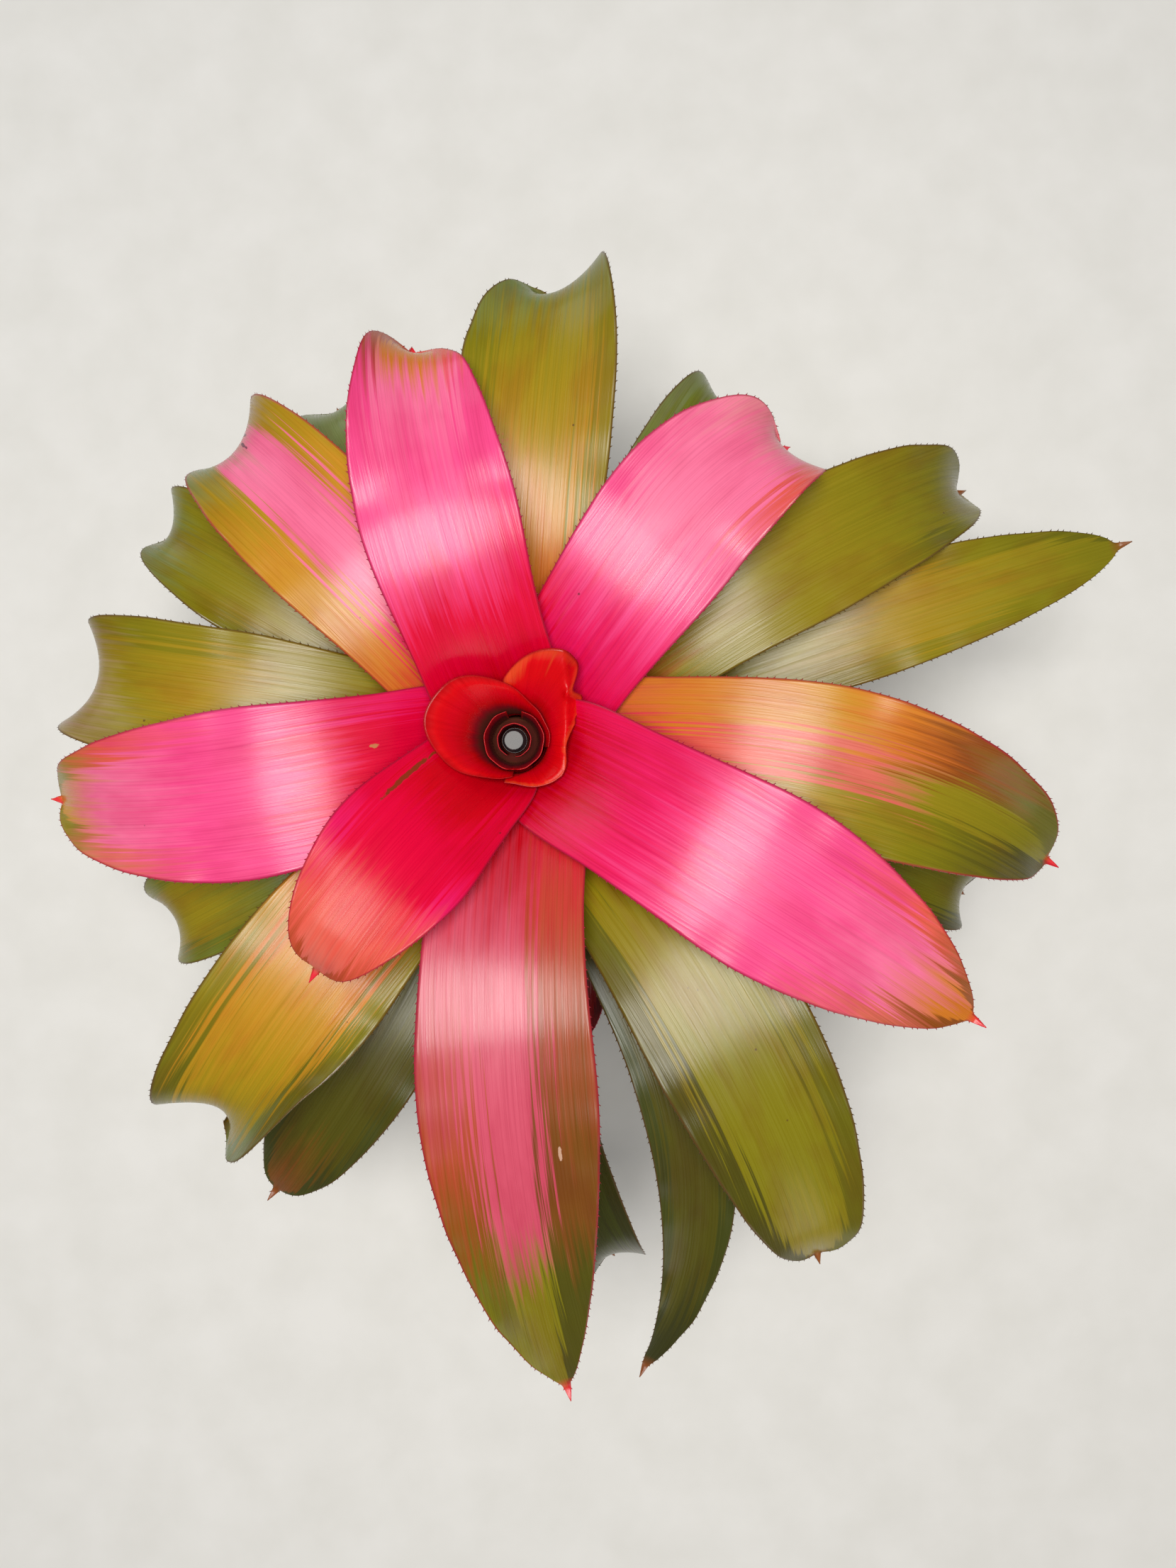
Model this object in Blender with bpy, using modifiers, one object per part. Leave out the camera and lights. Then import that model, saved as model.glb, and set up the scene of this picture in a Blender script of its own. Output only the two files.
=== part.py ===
"""Potted bromeliad: a tank-forming rosette of strap leaves on a short stem, with a young
side shoot, growing in a plain nursery pot.

Lengths here are millimetres and angles are degrees; each mesh is turned into metres as it
is made. +Z is up, and the origin is the centre of the pot's flat base.
"""

import bmesh
import bpy
import numpy as np
from math import cos, pi, radians, sin

MM = 0.001  # metres in a millimetre
MERGE = 0.00005  # metres, for modifiers that join points

# Pot: a thin tapered tub with a stepped rim and a ring of drain holes.
POT_HEIGHT = 120.0
POT_WALL = 2.0
BASE_RADIUS = 58.0
SHOULDER_RADIUS = 76.0  # outer radius just under the rim band
RIM_RADIUS = 80.0
RIM_BAND = 14.0
EDGE = 1.0  # rounding of the rim and of the base
DRAIN_RADIUS = 4.0
DRAIN_CIRCLE = 42.0
DRAIN_COUNT = 6

# Soil: fills the pot and mounds slightly towards the stem.
GAP = 0.3  # clearance between neighbouring solids
SOIL_EDGE = 103.0
SOIL_TOP = 108.0

# Stem: the short upright stock that every leaf clasps.
STEM_RADIUS = 11.2
STEM_FOOT = 80.0
STEM_TOP = 190.0

# Leaves clasp the stem as nested shells, each one STACK further out than the last.
LEAF_THICKNESS = 1.0
CLASP_RADIUS = 12.6
LOWEST_CLASP = 128.0
STACK = 1.75
INNER_RISE = 66.0  # how steeply the innermost blade leaves the stem
OUTER_RISE = 24.0
RISE_POWER = 0.85
LEAF_ROWS = 13
LEAF_COLUMNS = 6
MIDRIB_STEPS = 400

# Side shoot: a small rosette on its own stem, beside the main one.
SHOOT_PLACE = (24.0, -56.0)
SHOOT_RADIUS = 3.4
SHOOT_TOP = 127.0
SHOOT_CLASP_RADIUS = 4.6

# Central cup: leaves too young to spread, still rolled round each other.
CUP_THICKNESS = 1.0
CUP_LEAF_ROWS = 6
WATER_RADIUS = 5.5
WATER_FOOT = 191.0
WATER_LEVEL = 197.0

ROUND_STEPS = 48


def smooth(t):
    """0 below 0, 1 above 1, and an even S-shaped step between."""
    t = np.clip(t, 0.0, 1.0)
    return t * t * (3.0 - 2.0 * t)


class Leaf:
    """The shape of one strap leaf.

    azimuth, sweep: heading of its root, and how far the blade turns sideways past
    sweep_from. length, width: full size of the flat strap. crest: the fraction of the
    length where the arch tops out; droop and curl then bend it down, the curl only past
    curl_from. taper, blunt: where the outline starts to close, and how square the end is.
    channel: how far the margins stand above the midrib by the tip. roll: twist of the
    end. skew: how much one margin outruns the other.
    """

    def __init__(self, azimuth, length, width, crest=0.5, droop=30, curl=60,
                 curl_from=0.8, sweep=0, sweep_from=0.25, taper=0.65, blunt=2.3,
                 channel=0.35, roll=0, skew=0.0, rise=None, clasp=None):
        self.azimuth = azimuth
        self.length = length
        self.width = width
        self.crest = crest
        self.droop = droop
        self.curl = curl
        self.curl_from = curl_from
        self.sweep = sweep
        self.sweep_from = sweep_from
        self.taper = taper
        self.blunt = blunt
        self.channel = channel
        self.roll = roll
        self.skew = skew
        self.rise = rise
        self.clasp = clasp


# From the innermost leaf out. Each grows about 137 degrees round from the one before.
ROSETTE = {
    "pink_leaf_1": Leaf(-134, 142, 64, crest=0.85, droop=10, curl=50, sweep=6,
                        taper=0.42, blunt=1.7, channel=0.2),
    "pink_leaf_2": Leaf(-29, 246, 74, droop=24, curl=5, sweep=-3, taper=0.46,
                        blunt=1.25, channel=0.15),
    "pink_leaf_3": Leaf(109, 198, 68, crest=0.55, droop=28, curl=60, curl_from=0.82,
                        sweep=-6, taper=0.4, blunt=2.0, channel=0.4, roll=25),
    "pink_leaf_4": Leaf(-92, 300, 76, crest=0.45, droop=22, curl=10, curl_from=0.85,
                        sweep=9, taper=0.42, blunt=1.15, channel=0.15),
    "pink_leaf_5": Leaf(53, 196, 66, crest=0.55, droop=12, curl=75, sweep=-18,
                        sweep_from=0.6, taper=0.6, blunt=2.2, channel=0.3, roll=-15,
                        skew=0.05),
    "pink_leaf_6": Leaf(-168, 230, 75, droop=40, curl=20, sweep=-9, sweep_from=0.4,
                        taper=0.42, blunt=1.5, channel=0.3, skew=0.03),
    "pink_leaf_7": Leaf(-2, 270, 68, droop=38, curl=10, sweep=-15, taper=0.5,
                        blunt=1.35, channel=0.5),
    "pink_leaf_8": Leaf(132, 214, 64, droop=40, curl=75, sweep=4, taper=0.6,
                        blunt=2.4, channel=0.4, skew=0.03),
    "green_leaf_1": Leaf(-51, 286, 70, crest=0.6, curl=30, curl_from=0.84,
                         sweep=-12, taper=0.5, blunt=1.7, channel=0.3),
    "green_leaf_2": Leaf(87, 228, 68, crest=0.55, curl=70, curl_from=0.82, sweep=-2,
                         blunt=2.4, channel=0.4, roll=-20, skew=0.06),
    "green_leaf_3": Leaf(-132, 242, 72, crest=0.6, droop=34, curl=70, sweep=6,
                         taper=0.55, blunt=2.4, channel=0.3, roll=15, skew=0.12),
    "green_leaf_4": Leaf(34, 274, 60, crest=0.45, droop=46, curl=30, sweep=-6,
                         taper=0.5, blunt=1.7, channel=0.5),
    "green_leaf_5": Leaf(172, 218, 62, crest=0.6, droop=34, curl=85, curl_from=0.82,
                         taper=0.72, blunt=2.6, channel=0.4, roll=10, skew=0.02),
    "green_leaf_6": Leaf(-63, 322, 42, curl=0, sweep=-28, sweep_from=0.4, taper=0.4,
                         blunt=1.0, channel=0.15),
    "green_leaf_7": Leaf(58, 204, 52, crest=0.6, droop=34, curl=70, taper=0.7,
                         channel=0.4),
    "green_leaf_8": Leaf(-153, 200, 50, crest=0.6, droop=34, curl=70, taper=0.7,
                         channel=0.4),
    "green_leaf_9": Leaf(-16, 240, 46, crest=0.6, sweep=-4, taper=0.7, channel=0.4),
    "green_leaf_10": Leaf(148, 212, 54, crest=0.6, curl=70, sweep=2, taper=0.6,
                          blunt=2.0, channel=0.4, skew=0.05),
    "green_leaf_11": Leaf(-114, 246, 56, crest=0.6, droop=24, curl=15, sweep=-7,
                          taper=0.55, blunt=1.8, channel=0.1),
    "green_leaf_12": Leaf(19, 296, 52, crest=0.6, droop=16, curl=5, sweep=-1,
                          taper=0.48, blunt=1.5, channel=0.1),
    "green_leaf_13": Leaf(119, 198, 50, crest=0.6, taper=0.7),
    "green_leaf_14": Leaf(-88, 275, 46, crest=0.6, droop=26, sweep=16, sweep_from=0.4,
                          taper=0.7, skew=-0.04),
}

# The side shoot's leaves, each with its own steepness and the height of its root.
SHOOT = {
    "shoot_leaf_1": Leaf(-72, 66, 26, crest=0.7, droop=5, curl=10, taper=0.4,
                         blunt=1.4, rise=50, clasp=124),
    "shoot_leaf_2": Leaf(-87, 92, 34, crest=0.6, droop=10, curl=10, taper=0.4,
                         blunt=1.4, rise=36, clasp=119),
    "shoot_leaf_3": Leaf(10, 60, 26, crest=0.6, droop=10, curl=10, taper=0.4,
                         blunt=1.4, rise=34, clasp=116.5),
    "shoot_leaf_4": Leaf(185, 60, 26, crest=0.6, droop=10, curl=10, taper=0.4,
                         blunt=1.4, rise=32, clasp=114),
}

# Colour (linear red, green, blue), roughness. Nothing here is metal.
FINISHES = {
    "pot": ((0.03, 0.03, 0.032), 0.55),
    "soil": ((0.045, 0.028, 0.018), 0.95),
    "stem": ((0.30, 0.26, 0.13), 0.70),
    "pink_leaf": ((0.78, 0.05, 0.16), 0.38),
    "green_leaf": ((0.20, 0.26, 0.03), 0.42),
    "cup_leaf": ((0.76, 0.01, 0.02), 0.35),
    "shoot": ((0.55, 0.02, 0.05), 0.40),
    "water": ((0.55, 0.60, 0.65), 0.03),
}


def clear_scene():
    for thing in list(bpy.data.objects):
        bpy.data.objects.remove(thing, do_unlink=True)


def collection(name):
    group = bpy.data.collections.new(name)
    bpy.context.scene.collection.children.link(group)
    return group


def material(name, finish):
    colour, roughness = FINISHES[finish]
    made = bpy.data.materials.new(name)
    made.use_nodes = True
    shader = made.node_tree.nodes["Principled BSDF"]
    shader.inputs["Base Color"].default_value = (*colour, 1.0)
    shader.inputs["Roughness"].default_value = roughness
    shader.inputs["Metallic"].default_value = 0.0
    return made


def add_object(name, mesh, group, finish):
    thing = bpy.data.objects.new(name, mesh)
    mesh.materials.append(material(name, finish))
    mesh.shade_smooth()
    group.objects.link(thing)
    return thing


def turned(name, profile, group, finish, place=(0.0, 0.0)):
    """A round piece: (radius, height) points, from the axis over the top, down the outer
    side and back to the axis, turned once round the vertical through place."""
    mesh = bpy.data.meshes.new(name)
    points = [(radius * MM, 0.0, height * MM) for radius, height in profile]
    edges = [(i, i + 1) for i in range(len(points) - 1)]
    mesh.from_pydata(points, edges, [])
    thing = add_object(name, mesh, group, finish)
    thing.location = (place[0] * MM, place[1] * MM, 0.0)
    screw = thing.modifiers.new("turn", "SCREW")
    screw.axis = "Z"
    screw.steps = ROUND_STEPS
    screw.render_steps = ROUND_STEPS
    screw.use_merge_vertices = True
    screw.merge_threshold = MERGE
    return thing


def sheet(name, rows, columns, place_points, thickness, group, finish):
    """A thin curved solid: a flat grid whose points go where place_points(u, v) says,
    with u from 0 to 1 along it and v from -1 to 1 across, then thickened both ways."""
    grid = bmesh.new()
    bmesh.ops.create_grid(grid, x_segments=rows, y_segments=columns, size=1.0)
    u = np.array([(vertex.co.x + 1.0) / 2.0 for vertex in grid.verts])
    v = np.array([vertex.co.y for vertex in grid.verts])
    for vertex, point in zip(grid.verts, place_points(u, v)):
        vertex.co = point * MM
    mesh = bpy.data.meshes.new(name)
    grid.to_mesh(mesh)
    grid.free()
    thing = add_object(name, mesh, group, finish)
    solidify = thing.modifiers.new("thickness", "SOLIDIFY")
    solidify.thickness = thickness * MM
    solidify.offset = 0.0
    return thing


def cut_round_holes(thing, places, radius, low, high, cutters):
    """Cut upright round holes through thing, from height low to height high."""
    tool = bmesh.new()
    for x, y in places:
        made = bmesh.ops.create_cone(
            tool, cap_ends=True, segments=24, radius1=radius * MM, radius2=radius * MM,
            depth=(high - low) * MM)
        middle = (x * MM, y * MM, (high + low) / 2.0 * MM)
        bmesh.ops.translate(tool, verts=made["verts"], vec=middle)
    mesh = bpy.data.meshes.new(thing.name + "_cutter")
    tool.to_mesh(mesh)
    tool.free()
    cutter = bpy.data.objects.new(mesh.name, mesh)
    cutter.hide_render = True
    cutter.display_type = "WIRE"
    cutters.objects.link(cutter)
    cut = thing.modifiers.new("holes", "BOOLEAN")
    cut.operation = "DIFFERENCE"
    cut.object = cutter


def pot_radius(height):
    """Outer radius of the tapered wall."""
    rise = height / (POT_HEIGHT - RIM_BAND)
    return BASE_RADIUS + (SHOULDER_RADIUS - BASE_RADIUS) * rise


def make_pot(group, cutters):
    step = POT_HEIGHT - RIM_BAND
    floor_edge = pot_radius(2.0 * POT_WALL) - POT_WALL
    profile = [
        (0.0, POT_WALL),
        (floor_edge - POT_WALL, POT_WALL),
        (floor_edge, 2.0 * POT_WALL),
        (pot_radius(POT_HEIGHT) - POT_WALL, POT_HEIGHT - EDGE),
        (pot_radius(POT_HEIGHT) - POT_WALL + EDGE, POT_HEIGHT),
        (RIM_RADIUS - EDGE, POT_HEIGHT),
        (RIM_RADIUS, POT_HEIGHT - EDGE),
        (RIM_RADIUS, step),
        (pot_radius(step), step),
        (pot_radius(POT_WALL), POT_WALL),
        (BASE_RADIUS - EDGE, 0.0),
        (0.0, 0.0),
    ]
    pot = turned("pot", profile, group, "pot")
    angles = [2.0 * pi * turn / DRAIN_COUNT for turn in range(DRAIN_COUNT)]
    places = [(DRAIN_CIRCLE * cos(a), DRAIN_CIRCLE * sin(a)) for a in angles]
    cut_round_holes(pot, places, DRAIN_RADIUS, -POT_WALL, 2.0 * POT_WALL, cutters)


def make_soil(group, cutters):
    socket = STEM_RADIUS + GAP
    foot = POT_WALL + GAP
    side = POT_WALL + GAP
    corner = foot + POT_WALL
    profile = [
        (0.0, STEM_FOOT - GAP),
        (socket, STEM_FOOT - GAP),
        (socket, SOIL_TOP),
        (0.5 * SHOULDER_RADIUS, 0.5 * (SOIL_TOP + SOIL_EDGE) + 1.0),
        (pot_radius(SOIL_EDGE) - side, SOIL_EDGE),
        (pot_radius(corner) - side, corner),
        (pot_radius(foot) - side - POT_WALL, foot),
        (0.0, foot),
    ]
    soil = turned("soil", profile, group, "soil")
    hole = SHOOT_RADIUS + GAP
    cut_round_holes(soil, [SHOOT_PLACE], hole, STEM_FOOT - GAP, POT_HEIGHT, cutters)


def make_stems(group):
    shoulder = 3.0
    profile = [
        (0.0, STEM_TOP),
        (STEM_RADIUS - shoulder, STEM_TOP - 0.2 * shoulder),
        (STEM_RADIUS, STEM_TOP - shoulder),
        (STEM_RADIUS, STEM_FOOT),
        (0.0, STEM_FOOT),
    ]
    turned("stem", profile, group, "stem")
    profile = [
        (0.0, SHOOT_TOP),
        (SHOOT_RADIUS, SHOOT_TOP - SHOOT_RADIUS),
        (SHOOT_RADIUS, STEM_FOOT),
        (0.0, STEM_FOOT),
    ]
    turned("shoot_stem", profile, group, "shoot", SHOOT_PLACE)


def leaf_points(leaf, rise, clasp, radius, u, v):
    """Points of a leaf whose root is on a stem of the given clasp radius and height.

    The midrib is walked out from the root, its steepness and heading changing along the
    way. Near the root each cross-section wraps the stem at one height. Further out it
    opens into a shallow channel across the midrib, and the two forms blend between.
    """
    path = np.linspace(0.0, 1.0, MIDRIB_STEPS + 1)
    steep = rise * (1.0 - np.minimum(path / leaf.crest, 1.0))
    steep -= leaf.droop * smooth_ramp(path, leaf.crest)
    steep -= leaf.curl * smooth((path - leaf.curl_from) / (1.0 - leaf.curl_from))
    heading = leaf.azimuth + 2.0 * leaf.sweep * smooth_ramp(path, leaf.sweep_from)
    steep, heading = np.radians(steep), np.radians(heading)
    ahead = np.stack([np.cos(steep) * np.cos(heading),
                      np.cos(steep) * np.sin(heading), np.sin(steep)], axis=1)
    step = ahead * leaf.length / MIDRIB_STEPS
    walked = np.cumsum((step[1:] + step[:-1]) / 2.0, axis=0)
    bearing = radians(leaf.azimuth)
    root = np.array([radius * cos(bearing), radius * sin(bearing), clasp])
    midrib = root + np.vstack([np.zeros(3), walked])

    s = u * (1.4 - 0.4 * u)  # rows lie closer together towards the tip
    middle = along(s, path, midrib)
    ahead = along(s, path, ahead)
    ahead /= np.linalg.norm(ahead, axis=1)[:, None]
    turn = np.interp(s, path, heading)
    level = np.stack([-np.sin(turn), np.cos(turn), 0.0 * turn], axis=1)
    twist = np.radians(leaf.roll * smooth((s - 0.6) / 0.4))[:, None]
    side = level * np.cos(twist) + np.cross(ahead, level) * np.sin(twist)
    above = np.cross(ahead, side)

    reach = np.hypot(middle[:, 0], middle[:, 1])
    half = half_width(leaf, s, reach)
    offset = half * v
    channel = 0.1 + (leaf.channel - 0.1) * smooth((s - 0.55) / 0.35)
    lean = -leaf.length * leaf.skew * smooth((s - 0.45) / 0.5) * v
    blade = middle + side * offset[:, None] + ahead * lean[:, None]
    blade += above * (channel * half * v ** 2)[:, None]

    angle = np.arctan2(middle[:, 1], middle[:, 0]) + offset / reach
    clasping = np.stack([reach * np.cos(angle), reach * np.sin(angle), middle[:, 2]],
                        axis=1)
    opened = smooth((s - 0.16) / 0.3)[:, None]
    return clasping * (1.0 - opened) + blade * opened


def smooth_ramp(path, start):
    """0 up to start, then rising evenly to 1 at the tip."""
    return np.clip((path - start) / (1.0 - start), 0.0, 1.0)


def along(s, path, values):
    """Read three-part values at the fractions s of the path."""
    return np.stack([np.interp(s, path, values[:, i]) for i in range(3)], axis=1)


def half_width(leaf, s, reach):
    """Half the strap's width: full at the root, a slight waist above the clasp, full
    again over the arch and closing to the tip; never more than most of the way round
    the stem it clasps."""
    waist, widest_wrap, tip_half = 0.88, 1.35, 0.4
    narrow = np.where(s < 0.28, smooth((s - 0.1) / 0.18), 1.0 - smooth((s - 0.28) / 0.3))
    body = 1.0 - (1.0 - waist) * narrow
    closing = np.clip((s - leaf.taper) / (1.0 - leaf.taper), 0.0, 1.0)
    body *= np.maximum(1.0 - closing ** 2.2, 0.0) ** (1.0 / leaf.blunt)
    half = np.maximum(0.5 * leaf.width * body, tip_half)
    return (half ** -6 + (widest_wrap * reach) ** -6) ** (-1.0 / 6.0)


def make_rosette(group):
    """Every leaf sits a little lower on the stem and rises less than the one inside it."""
    last = len(ROSETTE) - 1
    clasp = LOWEST_CLASP
    for rank, name in reversed(list(enumerate(ROSETTE))):
        leaf = ROSETTE[name]
        lowering = (rank / last) ** RISE_POWER
        rise = INNER_RISE + (OUTER_RISE - INNER_RISE) * lowering
        shape = strap(leaf, rise, clasp, CLASP_RADIUS)
        finish = name.rsplit("_", 1)[0]
        sheet(name, LEAF_ROWS, LEAF_COLUMNS, shape, LEAF_THICKNESS, group, finish)
        clasp += STACK / cos(radians(rise))


def strap(leaf, rise, clasp, radius, place=(0.0, 0.0)):
    """The function of (u, v) that places one strap leaf's points."""
    offset = np.array([place[0], place[1], 0.0])
    return lambda u, v: leaf_points(leaf, rise, clasp, radius, u, v) + offset


def make_shoot(group):
    rows, columns = 8, 4
    for name, leaf in SHOOT.items():
        shape = strap(leaf, leaf.rise, leaf.clasp, SHOOT_CLASP_RADIUS, SHOOT_PLACE)
        sheet(name, rows, columns, shape, LEAF_THICKNESS, group, "shoot")


def lobe(angle, centre, sharpness):
    """1 at the centre angle, falling to 0 on the far side."""
    return (0.5 + 0.5 * np.cos(angle - radians(centre))) ** sharpness


def left_rim(angle):
    return 15.4 + 22.6 * lobe(angle, 158, 3.2), 202.0 + 16.0 * lobe(angle, 158, 3.2)


def right_rim(angle):
    radius = 18.6 + 25.0 * lobe(angle, 57, 8.4) + 7.0 * lobe(angle, -38, 12)
    return radius, 203.0 + 13.0 * lobe(angle, 57, 2)


def front_rim(angle):
    return 12.9 + 0.0 * angle, 202.0 - 3.0 * lobe(angle, -93, 300)


def inner_rim(angle):
    return 7.2 + 0.0 * angle, 201.0 + 0.0 * angle


def trumpet(angle, height, rim, foot_radius, foot, flare):
    """Radius of a rolled leaf at a height: upright at its foot and flaring to its rim."""
    rim_radius, rim_height = rim(angle)
    climbed = np.clip((height - foot) / (rim_height - foot), 0.0, 1.2)
    return foot_radius + (rim_radius - foot_radius) * climbed ** flare


def rolled(start, stop, rim, foot_radius, foot, flare, inside=None, spacing=1.7):
    """The function of (u, v) that wraps a rolled leaf from angle start to angle stop,
    keeping it at least spacing outside the trumpet given as inside."""
    def place_points(u, v):
        angle = np.radians(start + (stop - start) * u)
        height = foot + (rim(angle)[1] - foot) * (v + 1.0) / 2.0
        radius = trumpet(angle, height, rim, foot_radius, foot, flare)
        if inside:
            radius = np.maximum(radius, trumpet(angle, height, *inside) + spacing)
        return np.stack([radius * np.cos(angle), radius * np.sin(angle), height], axis=1)
    return place_points


def make_cup(group):
    left = (left_rim, 12.6, 189.0, 1.8)
    shapes = {
        "cup_leaf_left": (24, rolled(-12, 268, *left)),
        "cup_leaf_right": (20, rolled(-103, 108, right_rim, 12.6, 187.6, 1.8, left)),
        "cup_leaf_front": (20, rolled(-255, 75, front_rim, 10.4, 191.0, 1.6)),
        "cup_leaf_inner": (16, rolled(-85, 245, inner_rim, 6.6, 191.5, 1.0)),
    }
    for name, (around, shape) in shapes.items():
        sheet(name, around, CUP_LEAF_ROWS, shape, CUP_THICKNESS, group, "cup_leaf")
    profile = [(0.0, WATER_LEVEL), (WATER_RADIUS, WATER_LEVEL),
               (WATER_RADIUS, WATER_FOOT), (0.0, WATER_FOOT)]
    turned("cup_water", profile, group, "water")


clear_scene()
plant = collection("potted_bromeliad")
tools = collection("cutters")
make_pot(plant, tools)
make_soil(plant, tools)
make_stems(plant)
make_rosette(plant)
make_cup(plant)
make_shoot(plant)
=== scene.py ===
"""The looks of a potted bromeliad: camera, floor and light, then the pot, the soil, the
stems, the rosette of strap leaves, the rolled cup with its water, and the side shoot.

Shapes are worked out in millimetres and turned to metres as each mesh is made.
"""

import bpy
import numpy as np
from math import radians
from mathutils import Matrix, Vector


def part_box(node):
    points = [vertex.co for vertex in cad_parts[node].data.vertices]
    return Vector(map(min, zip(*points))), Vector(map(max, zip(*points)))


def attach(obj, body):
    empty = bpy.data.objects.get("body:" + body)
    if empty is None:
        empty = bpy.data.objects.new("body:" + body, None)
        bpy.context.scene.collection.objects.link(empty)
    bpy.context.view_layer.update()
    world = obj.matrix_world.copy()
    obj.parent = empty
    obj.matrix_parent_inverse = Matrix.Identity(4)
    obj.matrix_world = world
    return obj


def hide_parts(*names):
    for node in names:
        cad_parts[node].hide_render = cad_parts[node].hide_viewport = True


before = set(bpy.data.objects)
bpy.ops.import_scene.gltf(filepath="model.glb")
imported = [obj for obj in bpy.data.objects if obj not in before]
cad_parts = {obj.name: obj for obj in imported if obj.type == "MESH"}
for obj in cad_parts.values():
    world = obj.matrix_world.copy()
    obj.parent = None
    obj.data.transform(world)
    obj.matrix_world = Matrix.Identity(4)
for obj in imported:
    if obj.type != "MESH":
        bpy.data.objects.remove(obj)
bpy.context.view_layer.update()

MM = 0.001  # metres in a millimetre


# ---------------------------------------------------------------------------------------
# Camera, floor and light. The camera hangs straight above the plant. The floor is a plain
# pale sheet, and one broad soft lamp overhead gives the leaves their satin band of sheen.

CAMERA_PLACE = (0.032, -0.019, 0.710)
CAMERA_LENS = 27.0
FLOOR_REACH = 4.0
FLOOR_HEIGHT = -0.0002  # just under the pot, so that the two faces never flicker

camera = bpy.data.objects.new("camera", bpy.data.cameras.new("camera"))
camera.location = CAMERA_PLACE
camera.data.lens = CAMERA_LENS
camera.data.sensor_width = 36.0
bpy.context.scene.collection.objects.link(camera)
bpy.context.scene.camera = camera


def linear(hex_colour):
    """An sRGB hex colour as linear red, green, blue and a full alpha."""
    part = np.array([int(hex_colour[i:i + 2], 16) for i in (0, 2, 4)]) / 255.0
    part = np.where(part <= 0.04045, part / 12.92, ((part + 0.055) / 1.055) ** 2.4)
    return (*part, 1.0)


def add_node(tree, kind, inputs=None, stops=None, **settings):
    """Add a node of a kind. inputs pairs a socket with a value or with another node's
    output, stops lists a ramp's (place, hex colour) pairs, and the rest are its settings."""
    node = tree.nodes.new("ShaderNode" + kind)
    for name, value in settings.items():
        setattr(node, name, value)
    for socket, value in (inputs or {}).items():
        if isinstance(value, bpy.types.NodeSocket):
            tree.links.new(value, node.inputs[socket])
        else:
            node.inputs[socket].default_value = value
    for i, (place, colour) in enumerate(stops or []):
        ramp = node.color_ramp.elements
        stop = ramp[i] if i < 2 else ramp.new(place)
        stop.position = place
        stop.color = linear(colour)
    return node


def new_material(name, **shader_values):
    """An empty Principled material. Returns it, its node tree and its shader."""
    made = bpy.data.materials.new(name)
    made.use_nodes = True
    shader = made.node_tree.nodes["Principled BSDF"]
    for socket, value in shader_values.items():
        shader.inputs[socket.replace("_", " ")].default_value = value
    return made, made.node_tree, shader


def new_object(name, points, faces, material, attributes=None, soft_shading=True):
    """A mesh object from arrays: points in metres, faces as one or more index arrays, and
    attributes as three numbers for each point."""
    mesh = bpy.data.meshes.new(name)
    loops = np.concatenate([block.ravel() for block in faces])
    sizes = np.concatenate([np.full(len(block), block.shape[1]) for block in faces])
    mesh.vertices.add(len(points))
    mesh.vertices.foreach_set("co", np.asarray(points, np.float32).ravel())
    mesh.loops.add(len(loops))
    mesh.loops.foreach_set("vertex_index", loops.astype(np.int32))
    mesh.polygons.add(len(sizes))
    starts = np.concatenate([[0], np.cumsum(sizes)[:-1]])
    mesh.polygons.foreach_set("loop_start", starts.astype(np.int32))
    mesh.update(calc_edges=True)
    for key, values in (attributes or {}).items():
        layer = mesh.attributes.new(key, "FLOAT_VECTOR", "POINT")
        layer.data.foreach_set("vector", np.asarray(values, np.float32).ravel())
    if soft_shading:
        mesh.shade_smooth()
    mesh.materials.append(material)
    piece = bpy.data.objects.new(name, mesh)
    bpy.context.scene.collection.objects.link(piece)
    return piece


def grid_faces(rows, columns, start=0, closed=False):
    """Quads between neighbouring points of a rows by columns grid whose first point has
    index start; closed joins the last column to the first."""
    i = np.arange(rows - 1)[:, None]
    j = np.arange(columns if closed else columns - 1)[None, :]
    after = (j + 1) % columns
    corners = [i * columns + j, (i + 1) * columns + j, (i + 1) * columns + after,
               i * columns + after]
    return start + np.stack(np.broadcast_arrays(*corners), axis=-1).reshape(-1, 4)


# Matte card: even, pale and without shine, with faint mottling a few centimetres wide.
floor_skin, tree, shader = new_material("matte_paper_floor", Roughness=0.85)
speckle = add_node(tree, "TexNoise", {"Scale": 220.0, "Detail": 3.0})
tint = add_node(tree, "ValToRGB", {"Fac": speckle.outputs["Fac"]},
                stops=[(0.3, "E3E1DC"), (0.7, "E9E7E3")])
tree.links.new(tint.outputs["Color"], shader.inputs["Base Color"])
across = np.linspace(-FLOOR_REACH, FLOOR_REACH, 3)
x, y = np.meshgrid(across, across, indexing="ij")
flat = np.stack([x, y, np.full_like(x, FLOOR_HEIGHT)], axis=-1).reshape(-1, 3)
floor = new_object("floor", flat, [grid_faces(3, 3)], floor_skin)


def add_lamp(name, place, aim, size, power, colour):
    """A round soft lamp at a place, turned to face the aim point."""
    lamp = bpy.data.objects.new(name, bpy.data.lights.new(name, "AREA"))
    lamp.data.shape = "DISK"
    lamp.data.size = size
    lamp.data.energy = power
    lamp.data.color = linear(colour)[:3]
    lamp.location = place
    towards = Vector(aim) - Vector(place)
    lamp.rotation_euler = towards.to_track_quat("-Z", "Y").to_euler()
    bpy.context.scene.collection.objects.link(lamp)


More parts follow.
